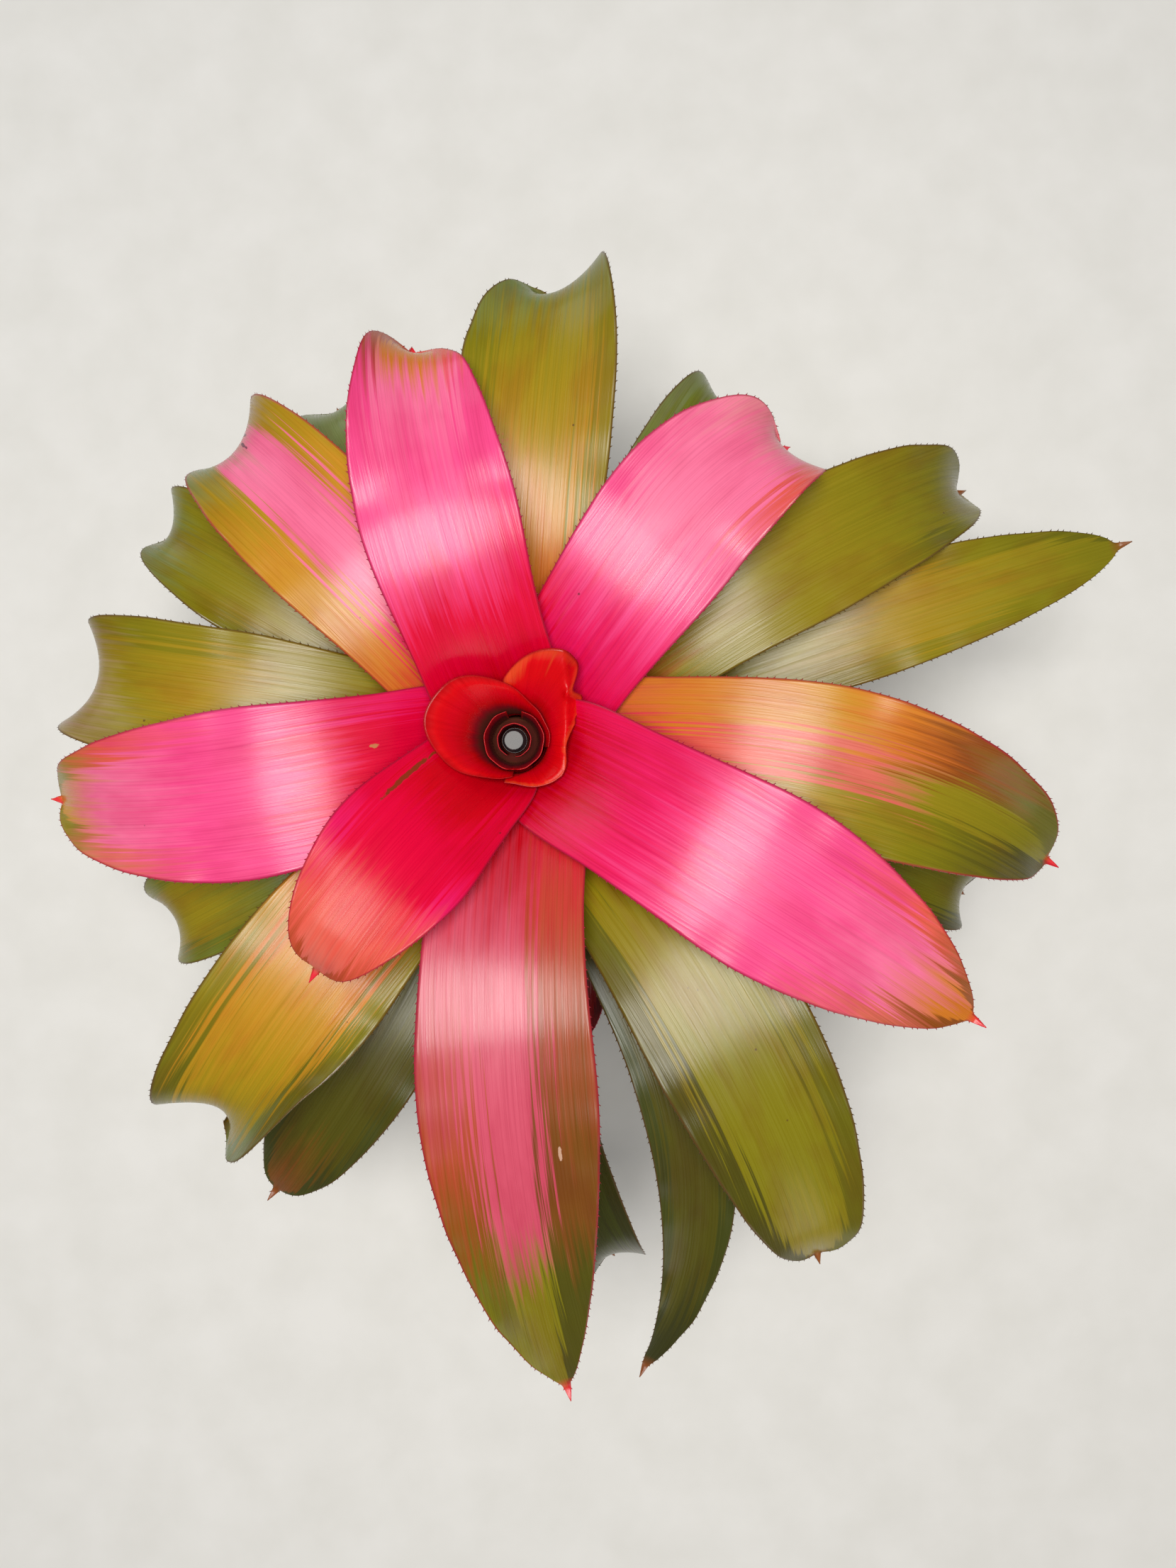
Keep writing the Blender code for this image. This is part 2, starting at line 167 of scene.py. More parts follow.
add_lamp("overhead_softbox", (-0.03, 0.04, 1.8), (0.0, 0.0, 0.15), 0.9, 27.0, "FFFDF8")
add_lamp("front_fill", (0.9, -1.7, 0.9), (0.0, 0.0, 0.12), 1.2, 4.5, "FFF8F0")
add_lamp("back_fill", (-1.3, 1.5, 0.8), (0.0, 0.0, 0.12), 1.2, 4.5, "F2F6FF")

world = bpy.data.worlds.new("studio")
world.use_nodes = True
sky = world.node_tree.nodes["Background"]
sky.inputs["Color"].default_value = linear("EEF2F8")
sky.inputs["Strength"].default_value = 0.20
bpy.context.scene.world = world
bpy.context.scene.view_settings.view_transform = "Standard"


# ---------------------------------------------------------------------------------------
# Pot: one injection moulding in black polypropylene, thin and tapered, with a stepped rim,
# shallow ribs for grip and a ring of drain holes in the base.

_, pot_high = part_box("pot")
POT_HEIGHT = pot_high.z / MM
RIM_RADIUS = pot_high.x / MM
POT_WALL = 2.0
BASE_RADIUS = 58.0
SHOULDER_RADIUS = 76.0
RIM_BAND = 14.0
RIB_COUNT = 36
RIB_DEPTH = 0.5
POT_SPOKES = 288


def pot_radius(height):
    """Outer radius of the tapered wall, growing evenly with height."""
    rise = height / (POT_HEIGHT - RIM_BAND)
    return BASE_RADIUS + (SHOULDER_RADIUS - BASE_RADIUS) * rise


def rounded_profile(corners, steps=5):
    """Round each (radius, height, rounding) corner with an even quarter-like curve: a
    quadratic arc that starts and ends at the rounding distance from the corner."""
    corners = np.array(corners, float)
    before = np.roll(corners, 1, axis=0)[:, :2]
    after = np.roll(corners, -1, axis=0)[:, :2]
    here, size = corners[:, :2], corners[:, 2:3]
    back = before - here
    ahead = after - here
    back *= size / np.maximum(np.linalg.norm(back, axis=1, keepdims=True), 1e-9)
    ahead *= size / np.maximum(np.linalg.norm(ahead, axis=1, keepdims=True), 1e-9)
    t = np.linspace(0.0, 1.0, steps)[None, :, None]
    arcs = here[:, None] + back[:, None] * (1.0 - t) ** 2 + ahead[:, None] * t ** 2
    arcs[corners[:, 2] == 0.0] = here[corners[:, 2] == 0.0][:, None]
    return arcs.reshape(-1, 2)


def turned_solid(rings, first_pole, last_pole):
    """Points in metres and faces of a closed solid of revolution. Quads join each ring of
    points to the next, and a fan of triangles closes the first and the last ring to its
    pole. Faces point outwards when the rings run out over the top and down the side."""
    count, around = rings.shape[:2]
    points = np.concatenate([rings.reshape(-1, 3), [first_pole, last_pole]]) * MM
    here = np.arange(around)
    after = (here + 1) % around
    pole = np.full(around, count * around)
    last = (count - 1) * around
    first_fan = np.stack([pole, here, after], axis=1)
    last_fan = np.stack([pole + 1, last + after, last + here], axis=1)
    return points, [grid_faces(count, around, closed=True), first_fan, last_fan]


step = POT_HEIGHT - RIM_BAND
inside_top = pot_radius(POT_HEIGHT) - POT_WALL
outline = rounded_profile([
    (0.2, POT_WALL, 0.0),
    (pot_radius(2.0 * POT_WALL) - POT_WALL, POT_WALL, 3.0),
    (inside_top, POT_HEIGHT, 0.9),
    (RIM_RADIUS, POT_HEIGHT, 0.9),
    (RIM_RADIUS - 0.4, step + 9.0, 1.0),
    (RIM_RADIUS - 0.9, step + 8.2, 0.5),
    (RIM_RADIUS, step, 0.8),
    (pot_radius(step) + 0.2, step, 0.3),
    (pot_radius(40.0), 40.0, 2.0),
    (BASE_RADIUS, 0.0, 1.5),
    (0.2, 0.0, 0.0),
])
turn = np.linspace(0.0, 2.0 * np.pi, POT_SPOKES, endpoint=False)
radius, height = outline[:, 0:1], outline[:, 1:2]
outer_wall = (radius > 50.0) & (height > 8.0) & (height < step - 3.0)
on_outside = outer_wall & (radius > pot_radius(height) - 0.6 * POT_WALL)
ribs = -RIB_DEPTH * (0.5 - 0.5 * np.cos(RIB_COUNT * turn[None, :])) ** 4 * on_outside
ring = np.maximum(radius + ribs, 0.0)
rings = np.stack([ring * np.cos(turn), ring * np.sin(turn),
                  np.broadcast_to(height, ring.shape)], axis=-1)
points, faces = turned_solid(rings, [0.0, 0.0, POT_WALL], [0.0, 0.0, 0.0])

# Moulded polypropylene: near black with a soft uneven sheen, greyed where dust lies.
# Dust patches are about 36 mm across and scuffs about 6 mm.
pot_skin, tree, shader = new_material("injection_moulded_polypropylene", Roughness=0.5)
place = add_node(tree, "TexCoord")
dust = add_node(tree, "TexNoise", {"Vector": place.outputs["Object"], "Scale": 28.0,
                                   "Detail": 8.0, "Roughness": 0.65})
dusty = add_node(tree, "ValToRGB", {"Fac": dust.outputs["Fac"]},
                 stops=[(0.42, "1C1D1F"), (0.75, "37342F")])
scuffs = add_node(tree, "TexNoise", {"Vector": place.outputs["Object"], "Scale": 180.0,
                                     "Detail": 4.0})
gloss = add_node(tree, "MapRange", {"Value": scuffs.outputs["Fac"], "To Min": 0.38,
                                    "To Max": 0.62})
grain = add_node(tree, "Bump", {"Height": scuffs.outputs["Fac"], "Distance": 0.0002,
                                "Strength": 0.35})
tree.links.new(dusty.outputs["Color"], shader.inputs["Base Color"])
tree.links.new(gloss.outputs["Result"], shader.inputs["Roughness"])
tree.links.new(grain.outputs["Normal"], shader.inputs["Normal"])
pot = new_object("nursery_pot", points, faces, pot_skin)

DRAIN_COUNT = 6
DRAIN_RADIUS = 4.0
DRAIN_CIRCLE = 42.0
PUNCH_SPOKES = 24
around = np.linspace(0.0, 2.0 * np.pi, PUNCH_SPOKES, endpoint=False)
for angle in np.linspace(0.0, 2.0 * np.pi, DRAIN_COUNT, endpoint=False):
    x = DRAIN_CIRCLE * np.cos(angle) + DRAIN_RADIUS * np.cos(around)
    y = DRAIN_CIRCLE * np.sin(angle) + DRAIN_RADIUS * np.sin(around)
    ends = [np.stack([x, y, np.full_like(x, z)], axis=1) for z in (-POT_WALL, 2.0 * POT_WALL)]
    lower = np.arange(PUNCH_SPOKES)[None]
    caps = [lower[:, ::-1], lower + PUNCH_SPOKES]
    sides = grid_faces(2, PUNCH_SPOKES, closed=True)[:, ::-1]
    punch = new_object("punch", np.concatenate(ends) * MM, [sides, *caps], pot_skin)
    cut = pot.modifiers.new("drain", "BOOLEAN")
    cut.object = punch
    with bpy.context.temp_override(object=pot, active_object=pot):
        bpy.ops.object.modifier_apply(modifier=cut.name)
    bpy.data.objects.remove(punch)
pot.data.set_sharp_from_angle(angle=radians(50))
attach(pot, "root")
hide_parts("pot")


# ---------------------------------------------------------------------------------------
# Soil: bark-based potting mix, mounded a little round the stem, with loose bark chips and
# white perlite grains lying on it.

SOIL_TOP = 107.0
SOIL_EDGE = 103.0
SOIL_FOOT = POT_WALL + 2.6
SOIL_GAP = 0.4  # between the mix and the wall of the pot
SOIL_RADIUS = pot_radius(SOIL_EDGE) - POT_WALL - SOIL_GAP
SOIL_RINGS = 80
SOIL_SPOKES = 240


def lumps(x, y, sizes, seed):
    """Uneven ground between -1 and 1: the mean of plane waves in scattered directions,
    one for each size, which is its wavelength in millimetres."""
    rng = np.random.default_rng(seed)
    total = np.zeros_like(x)
    for size in sizes:
        angle, phase = rng.uniform(0.0, 2.0 * np.pi, 2)
        wave = 2.0 * np.pi / size * (x * np.cos(angle) + y * np.sin(angle))
        total += np.sin(wave + phase + 0.7 * np.sin(0.6 * wave + 2.0 * phase))
    return total / len(sizes)


def soil_height(x, y):
    """Height of the soil: a low mound that falls to the edge, roughened by lumps."""
    out = np.hypot(x, y) / SOIL_RADIUS
    mound = SOIL_EDGE + (SOIL_TOP - SOIL_EDGE) * (1.0 - out ** 2)
    rough = 0.8 * lumps(x, y, (31, 23, 17, 29, 13, 19), 3)
    rough += 0.45 * lumps(x, y, (7, 5, 6, 4, 5.5, 8, 4.6), 5)
    return mound + rough * np.clip(6.0 * (1.0 - out), 0.0, 1.0)


turn = np.linspace(0.0, 2.0 * np.pi, SOIL_SPOKES, endpoint=False)[None, :]
radius = np.linspace(0.3, SOIL_RADIUS, SOIL_RINGS)[:, None]
x, y = radius * np.cos(turn), radius * np.sin(turn)
top = np.stack([x, y, soil_height(x, y)], axis=-1)
side_radius = pot_radius(SOIL_FOOT) - POT_WALL - SOIL_GAP
skirt = np.stack([side_radius * np.cos(turn), side_radius * np.sin(turn),
                  np.full_like(turn, SOIL_FOOT)], axis=-1)
middle = [0.0, 0.0, soil_height(np.zeros(1), np.zeros(1))[0]]
points, faces = turned_solid(np.concatenate([top, skirt]), middle, [0.0, 0.0, SOIL_FOOT])

# Composted bark: dark, matte and crumbly, blacker where it is damp. Crumbs are about
# 2.4 mm and damp patches 22 mm.
soil_skin, tree, shader = new_material("bark_potting_mix", Roughness=0.92)
place = add_node(tree, "TexCoord")
crumbs = add_node(tree, "TexVoronoi", {"Vector": place.outputs["Object"], "Scale": 420.0})
crumb_tint = add_node(tree, "ValToRGB", {"Fac": crumbs.outputs["Color"]},
                      stops=[(0.1, "1E140D"), (0.6, "3A2718"), (0.9, "57402A")])
damp = add_node(tree, "TexNoise", {"Vector": place.outputs["Object"], "Scale": 45.0,
                                   "Detail": 6.0})
damp_tint = add_node(tree, "ValToRGB", {"Fac": damp.outputs["Fac"]},
                     stops=[(0.4, "9A8E84"), (0.62, "FFFFFF")])
mixed = add_node(tree, "Mix", {0: 0.8, 6: crumb_tint.outputs["Color"],
                               7: damp_tint.outputs["Color"]},
                 data_type="RGBA", blend_type="MULTIPLY")
crumb_bump = add_node(tree, "Bump", {"Height": crumbs.outputs["Distance"],
                                     "Distance": 0.0012, "Strength": 0.8})
tree.links.new(mixed.outputs[2], shader.inputs["Base Color"])
tree.links.new(crumb_bump.outputs["Normal"], shader.inputs["Normal"])
soil = new_object("potting_mix", points, faces, soil_skin)
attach(soil, "root")
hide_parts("soil")


def scatter(name, number, long_side, flatness, material, seed):
    """Loose chips on the soil: each is a squashed eight-sided pebble of two rings and two
    poles, turned, tilted and set into the surface at a random place clear of the stems."""
    rng = np.random.default_rng(seed)
    out = np.sqrt(rng.uniform(0.045, 0.88, number)) * SOIL_RADIUS
    heading = rng.uniform(0.0, 2.0 * np.pi, number)
    x, y = out * np.cos(heading), out * np.sin(heading)
    size = long_side * rng.uniform(0.5, 1.0, number)
    width = size * rng.uniform(0.45, 0.9, number)
    depth = size * flatness * rng.uniform(0.6, 1.2, number)
    spokes = np.linspace(0.0, 2.0 * np.pi, 8, endpoint=False)
    wobble = rng.uniform(0.75, 1.15, (number, 2, 8))
    level = np.array([-0.45, 0.45])[None, :, None]
    local = np.stack([wobble * np.cos(spokes), wobble * np.sin(spokes),
                      np.broadcast_to(level, wobble.shape)], axis=-1)
    local = local.reshape(number, 16, 3)
    poles = np.broadcast_to(np.array([[0.0, 0.0, -0.8], [0.0, 0.0, 0.8]]), (number, 2, 3))
    local = np.concatenate([local, poles], axis=1)
    local = local * np.stack([size, width, depth], axis=1)[:, None] / 2.0
    tilt_x, tilt_y = rng.normal(0.0, 0.35, (2, number))[..., None]
    spin = rng.uniform(0.0, 2.0 * np.pi, number)[:, None]
    lx, ly, lz = local[..., 0], local[..., 1], local[..., 2]
    lz = lz + lx * np.tan(tilt_x) * 0.5 + ly * np.tan(tilt_y) * 0.5
    cos, sin = np.cos(spin), np.sin(spin)
    placed = np.stack([x[:, None] + lx * cos - ly * sin, y[:, None] + lx * sin + ly * cos,
                       (soil_height(x, y) + 0.2 * depth)[:, None] + lz], axis=-1)
    ring = np.arange(8)
    after = (ring + 1) % 8
    quads = np.stack([ring, after, after + 8, ring + 8], axis=1)
    low = np.stack([np.full(8, 16), after, ring], axis=1)
    high = np.stack([np.full(8, 17), ring + 8, after + 8], axis=1)
    shift = 18 * np.arange(number)[:, None, None]
    faces = [(block[None] + shift).reshape(-1, block.shape[1])
             for block in (quads, low, high)]
    chips = new_object(name, placed.reshape(-1, 3) * MM, faces, material,
                       soft_shading=False)
    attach(chips, "root")


# Pine bark: dry, brown and dull, its tones changing about every 8 mm.
bark_skin, tree, shader = new_material("pine_bark", Roughness=0.85)
place = add_node(tree, "TexCoord")
bark = add_node(tree, "TexNoise", {"Vector": place.outputs["Object"], "Scale": 130.0,
                                   "Detail": 5.0})
bark_tint = add_node(tree, "ValToRGB", {"Fac": bark.outputs["Fac"]},
                     stops=[(0.35, "2B1A10"), (0.55, "5A3A22"), (0.72, "86613F")])
bark_bump = add_node(tree, "Bump", {"Height": bark.outputs["Fac"], "Distance": 0.0006})
tree.links.new(bark_tint.outputs["Color"], shader.inputs["Base Color"])
tree.links.new(bark_bump.outputs["Normal"], shader.inputs["Normal"])
# Expanded perlite: chalky off-white, pitted by pores of about 0.7 mm.
perlite_skin, tree, shader = new_material("perlite", Roughness=0.9)
place = add_node(tree, "TexCoord")
pores = add_node(tree, "TexVoronoi", {"Vector": place.outputs["Object"], "Scale": 1500.0})
pore_tint = add_node(tree, "ValToRGB", {"Fac": pores.outputs["Distance"]},
                     stops=[(0.0, "A9A498"), (0.6, "E4E1D8")])
tree.links.new(pore_tint.outputs["Color"], shader.inputs["Base Color"])
scatter("bark_chips", 520, 9.0, 0.35, bark_skin, 11)
scatter("perlite_grains", 170, 3.4, 0.8, perlite_skin, 12)


# ---------------------------------------------------------------------------------------
# Stems: short woody stocks ringed by the scars of leaves that have dropped, the main one
# under the rosette and a thin one that carries the side shoot.

_, stem_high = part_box("stem")
STEM_RADIUS = stem_high.x / MM
STEM_TOP = stem_high.z / MM
STEM_FOOT = 82.0
STEM_SPOKES = 48
STEM_RINGS = 140
SHOOT_PLACE = (24.0, -56.0)
SHOOT_RADIUS = 3.4
SHOOT_TOP = 127.0


def stock(name, node, radius, top, place, ring_gap):
    """A scarred upright stem: a turned column whose radius swells and nips in at each
    leaf scar, closed at both ends."""
    turn = np.linspace(0.0, 2.0 * np.pi, STEM_SPOKES, endpoint=False)[None, :]
    height = np.linspace(STEM_FOOT, top, STEM_RINGS)[::-1, None]
    saw = (height / ring_gap + 0.12 * np.sin(turn * 2.0 + 1.0)) % 1.0
    ends = np.sqrt(np.clip((top - height) / (0.5 * radius), 0.0, 1.0))
    girth = radius * (1.0 - 0.09 * saw ** 3) * (0.15 + 0.85 * ends)
    rings = np.stack([place[0] + girth * np.cos(turn), place[1] + girth * np.sin(turn),
                      np.broadcast_to(height, girth.shape)], axis=-1)
    points, faces = turned_solid(rings, [*place, top], [*place, STEM_FOOT])
    stem = new_object(name, points, faces, stem_skin)
    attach(stem, "root")
    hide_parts(node)


# Scarred green bark: rough and dull, in level bands about 2.4 mm high and 17 mm long. The top
# is painted dark red as shade, where it shows in the dark gap between the cup's rolls.
stem_skin, tree, shader = new_material("scarred_green_bark", Roughness=0.75,
                                       Specular_IOR_Level=0.2)
place = add_node(tree, "TexCoord")
bands = add_node(tree, "Mapping", {"Vector": place.outputs["Object"],
                                   "Scale": (60.0, 60.0, 420.0)})
rings = add_node(tree, "TexNoise", {"Vector": bands.outputs["Vector"], "Scale": 1.0,
                                    "Detail": 5.0})
ring_tint = add_node(tree, "ValToRGB", {"Fac": rings.outputs["Fac"]},
                     stops=[(0.32, "4A3420"), (0.52, "8A7446"), (0.7, "A89A62")])
height = add_node(tree, "SeparateXYZ", {"Vector": place.outputs["Object"]})
# Painted shade: near its top the stem is mixed to dark red, for the gap between the rolls.
gap_shade_mask = add_node(tree, "MapRange", {"Value": height.outputs["Z"], "From Min": 0.17,
                                  "From Max": 0.187})
shade = add_node(tree, "Mix", {0: gap_shade_mask.outputs["Result"], 6: ring_tint.outputs["Color"],
                               7: linear("5A2018")}, data_type="RGBA")
ring_bump = add_node(tree, "Bump", {"Height": rings.outputs["Fac"], "Distance": 0.0005})
tree.links.new(shade.outputs[2], shader.inputs["Base Color"])
tree.links.new(ring_bump.outputs["Normal"], shader.inputs["Normal"])
stock("main_stem", "stem", STEM_RADIUS, STEM_TOP, (0.0, 0.0), 4.2)
stock("shoot_stock", "shoot_stem", SHOOT_RADIUS, SHOOT_TOP, SHOOT_PLACE, 2.6)


# ---------------------------------------------------------------------------------------
# Rosette: twenty-two strap leaves that clasp the stem as nested shells and arch outwards.
# Each is a thin stiff blade with a waxy skin, fine lengthwise veins, small spines along
# both margins and a short point at its tip.

LOWEST_CLASP = 128.0
STACK = 1.75  # from one clasping shell to the next, square to the blade
INNER_RISE = 66.0
OUTER_RISE = 24.0
RISE_POWER = 0.85
POINT_LENGTH = 8.0
POINT_HALF_WIDTH = 3.0
LEAN_FADE = 15.0  # the last stretch, where the two margins draw level again
RIPPLE_LENGTHS = (37.0, 23.0, 61.0)

# What each stretch of leaf looks like, from scarlet hearts through pinks and oranges to
# the greens of the older leaves.
# sage and tan, worn mostly at the tips, are partly painted reflection: the pale grey cast of
# the sky on tips that turn down.
PIGMENT = dict(scarlet="D00018", crimson="E00038", cerise="E81860", pink="F04888",
               rose="F07098", blush="E08890", dusk="D05068", salmon="D86858", coral="E05848",
               brick="B04828", rust="904C10", umber="784810", orange="D07820",
               amber="C88C20", mustard="A88810", gold="908010", moss="807808",
               olive="686408", deep_olive="504C08", bottle="404410", shade="383810",
               leaf_green="6C7820", sage="748048", tan="A88C68")

# From the innermost leaf out: its shape, then its pigments from the clasp to the tip,
# along the middle of the blade and along its margins. Where right is left out, that
# margin is like the left one.
ROSETTE = [
    dict(name="pink_leaf_1", azimuth=-134, length=142, width=64, crest=0.85, droop=10,
         curl=50, sweep=6, taper=0.42, blunt=1.7, channel=0.2, gloss=0.16,
         scars=[(50, -21, 17, 1.3, "7A3410")],
         left="scarlet crimson crimson cerise coral brick",
         middle="scarlet scarlet crimson crimson coral salmon"),
    dict(name="pink_leaf_2", azimuth=-29, length=246, width=74, droop=24, curl=5,
         sweep=-3, taper=0.46, blunt=1.25, channel=0.15,
         left="scarlet cerise pink pink salmon rust",
         middle="scarlet cerise pink pink rose orange",
         right="crimson cerise pink pink coral rust"),
    dict(name="pink_leaf_3", azimuth=109, length=198, width=68, crest=0.55, droop=28,
         curl=60, curl_from=0.82, sweep=-6, taper=0.4, blunt=2.0, channel=0.4, roll=25,
         stations="0.1 0.3 0.45 0.6 0.8 0.9",
         left="scarlet crimson cerise pink pink coral",
         middle="scarlet crimson pink pink rose orange",
         right="scarlet crimson pink pink pink brick"),
    dict(name="pink_leaf_4", azimuth=-92, length=300, width=76, crest=0.45, droop=22,
         curl=10, curl_from=0.85, sweep=9, taper=0.42, blunt=1.15, channel=0.15,
         stations="0.1 0.35 0.6 0.7 0.8 0.95", bands="0.4 0.25",
         scars=[(181, 19, 3.2, 0.9, "C8A088")],
         left="crimson dusk brick rust olive moss",
         middle="scarlet dusk dusk dusk moss moss",
         right="crimson brick umber umber deep_olive deep_olive"),
    dict(name="pink_leaf_5", azimuth=53, length=196, width=66, crest=0.55, droop=12,
         curl=75, sweep=-18, sweep_from=0.6, taper=0.6, blunt=2.2, channel=0.3, roll=-15,
         skew=0.05,
         left="crimson cerise pink rose coral blush",
         middle="crimson cerise pink rose rose blush",
         right="crimson crimson pink pink rose blush"),
    dict(name="pink_leaf_6", azimuth=-168, length=230, width=75, droop=40, curl=20,
         sweep=-9, sweep_from=0.4, taper=0.42, blunt=1.5, channel=0.3, skew=0.03,
         scars=[(62, -10, 2.4, 1.1, "C08050")],
         left="crimson cerise pink pink coral gold",
         middle="crimson crimson pink pink rose amber",
         right="crimson cerise pink pink salmon gold"),
    dict(name="pink_leaf_7", azimuth=-2, length=270, width=68, droop=38, curl=10,
         sweep=-15, taper=0.5, blunt=1.35, channel=0.5, bands="0.2 0.2",
         stations="0.1 0.3 0.5 0.6 0.7 0.9",
         left="crimson orange mustard gold moss deep_olive",
         middle="cerise coral salmon salmon gold moss",
         right="coral orange amber orange rust olive"),
    dict(name="pink_leaf_8", azimuth=132, length=214, width=64, droop=40, curl=75,
         sweep=4, taper=0.6, blunt=2.4, channel=0.4, skew=0.03, bands="0.45 0.25",
         scars=[(183, -5, 5, 0.9, "5A2038"), (188, -9, 4, 0.9, "6A2A40")],
         left="crimson pink salmon amber mustard tan",
         middle="crimson cerise rose rose rose tan",
         right="crimson orange amber amber mustard sage"),
    # The darker left margin of green_leaf_1 is partly painted shade, along its edge by the
    # gap.
    dict(name="green_leaf_1", azimuth=-51, length=286, width=70, crest=0.6, curl=30,
         curl_from=0.84, sweep=-12, taper=0.5, blunt=1.7, channel=0.3,
         left="deep_olive olive olive deep_olive deep_olive deep_olive",
         middle="umber gold gold moss moss gold",
         right="olive moss gold olive olive olive"),
    dict(name="green_leaf_2", azimuth=87, length=228, width=68, crest=0.55, curl=70,
         curl_from=0.82, sweep=-2, blunt=2.4, channel=0.4, roll=-20, skew=0.06,
         scars=[(95, 13, 38, 6.5, "B8642C"), (96, 14, 27, 3, "3E2412")],
         left="gold gold gold gold moss sage",
         middle="brick orange amber mustard gold sage",
         right="brick orange mustard gold moss sage"),
    dict(name="green_leaf_3", azimuth=-132, length=242, width=72, crest=0.6, droop=34,
         curl=70, sweep=6, taper=0.55, blunt=2.4, channel=0.3, roll=15, skew=0.12,
         left="umber orange amber gold olive moss",
         middle="umber orange orange amber mustard gold",
         right="olive gold gold moss olive sage"),
    dict(name="green_leaf_4", azimuth=34, length=274, width=60, crest=0.45, droop=46,
         curl=30, sweep=-6, taper=0.5, blunt=1.7, channel=0.5,
         left="olive moss gold gold olive moss",
         middle="brick gold gold gold moss olive",
         right="moss gold gold gold moss olive"),
    dict(name="green_leaf_5", azimuth=172, length=218, width=62, crest=0.6, droop=34,
         curl=85, curl_from=0.82, taper=0.72, blunt=2.6, channel=0.4, roll=10, skew=0.02,
         left="olive moss gold gold moss tan",
         middle="umber gold gold mustard gold tan",
         right="moss gold gold gold gold tan"),
    # The shade pigment on this leaf and on green_leaf_14 is partly painted shade: both lie
    # under others.
    dict(name="green_leaf_6", azimuth=-63, length=322, width=42, curl=0, sweep=-28,
         sweep_from=0.4, taper=0.4, blunt=1.0, channel=0.15,
         left="shade bottle bottle bottle bottle shade",
         middle="bottle deep_olive deep_olive deep_olive deep_olive shade"),
    dict(name="green_leaf_7", azimuth=58, length=204, width=52, crest=0.6, droop=34,
         curl=70, taper=0.7, channel=0.4,
         left="olive leaf_green leaf_green leaf_green sage sage",
         middle="moss moss leaf_green leaf_green leaf_green sage"),
    dict(name="green_leaf_8", azimuth=-153, length=200, width=50, crest=0.6, droop=34,
         curl=70, taper=0.7, channel=0.4,
         left="deep_olive deep_olive olive olive leaf_green moss",
         middle="olive olive moss leaf_green gold gold"),
    dict(name="green_leaf_9", azimuth=-16, length=240, width=46, crest=0.6, sweep=-4,
         taper=0.7, channel=0.4,
         left="bottle deep_olive deep_olive olive deep_olive bottle",
         middle="deep_olive olive olive leaf_green olive olive"),
    dict(name="green_leaf_10", azimuth=148, length=212, width=54, crest=0.6, curl=70,
         sweep=2, taper=0.6, blunt=2.0, channel=0.4, skew=0.05,
         left="olive leaf_green gold moss moss sage",
         middle="olive moss gold gold moss sage"),
    dict(name="green_leaf_11", azimuth=-114, length=246, width=56, crest=0.6, droop=24,
         curl=15, sweep=-7, taper=0.55, blunt=1.8, channel=0.1,
         left="bottle deep_olive deep_olive deep_olive bottle bottle",
         middle="deep_olive deep_olive olive deep_olive deep_olive umber",
         right="bottle bottle deep_olive deep_olive bottle bottle"),
    dict(name="green_leaf_12", azimuth=19, length=296, width=52, crest=0.6, droop=16,
         curl=5, sweep=-1, taper=0.48, blunt=1.5, channel=0.1,
         left="olive olive moss gold moss moss",
         middle="olive moss gold mustard gold moss",
         right="olive olive moss gold moss olive"),
    dict(name="green_leaf_13", azimuth=119, length=198, width=50, crest=0.6, taper=0.7,
         left="deep_olive olive leaf_green sage sage sage",
         middle="olive leaf_green leaf_green leaf_green sage sage"),
    dict(name="green_leaf_14", azimuth=-88, length=275, width=46, crest=0.6, droop=26,
         sweep=16, sweep_from=0.4, taper=0.7, skew=-0.04,
         left="shade bottle bottle bottle shade shade",
         middle="bottle deep_olive deep_olive bottle bottle bottle"),
]
# What a leaf has where its own line says nothing else. Angles are in degrees.
# azimuth, sweep: heading of its root, and its turn sideways past sweep_from. crest: where
# the arch tops out; droop and curl then bend it down, the curl only past curl_from.
# taper, blunt: where the outline starts to close, and how square the end is. channel: how
# far the margins stand up. roll: twist of the end. skew: how far one margin outruns the
# other. stations: where each pigment lies along the leaf. bands: where the two margins'
# pigments start across it. scars: (along, across, length, width, colour) of each.
USUAL = dict(crest=0.5, droop=30, curl=60, curl_from=0.8, sweep=0, sweep_from=0.25,
             taper=0.65, blunt=2.3, channel=0.35, roll=0, skew=0.0, point_lift=50,
             clasp_radius=12.6, thick=1.0, ripple=0.35, spine=1.25, spine_gap=4.0,
             spines_from=0.3, gloss=0.34, ragged=0.06, bands="0.6 0.6",
             stations="0.1 0.3 0.45 0.6 0.8 0.95")


def smooth(t):
    """0 below 0, 1 above 1, and an even S-shaped step between."""
    t = np.clip(t, 0.0, 1.0)
    return t * t * (3.0 - 2.0 * t)


def ramp_up(path, start):
    """0 up to start, then rising evenly to 1 at the end of the path."""
    return np.clip((path - start) / (1.0 - start), 0.0, 1.0)


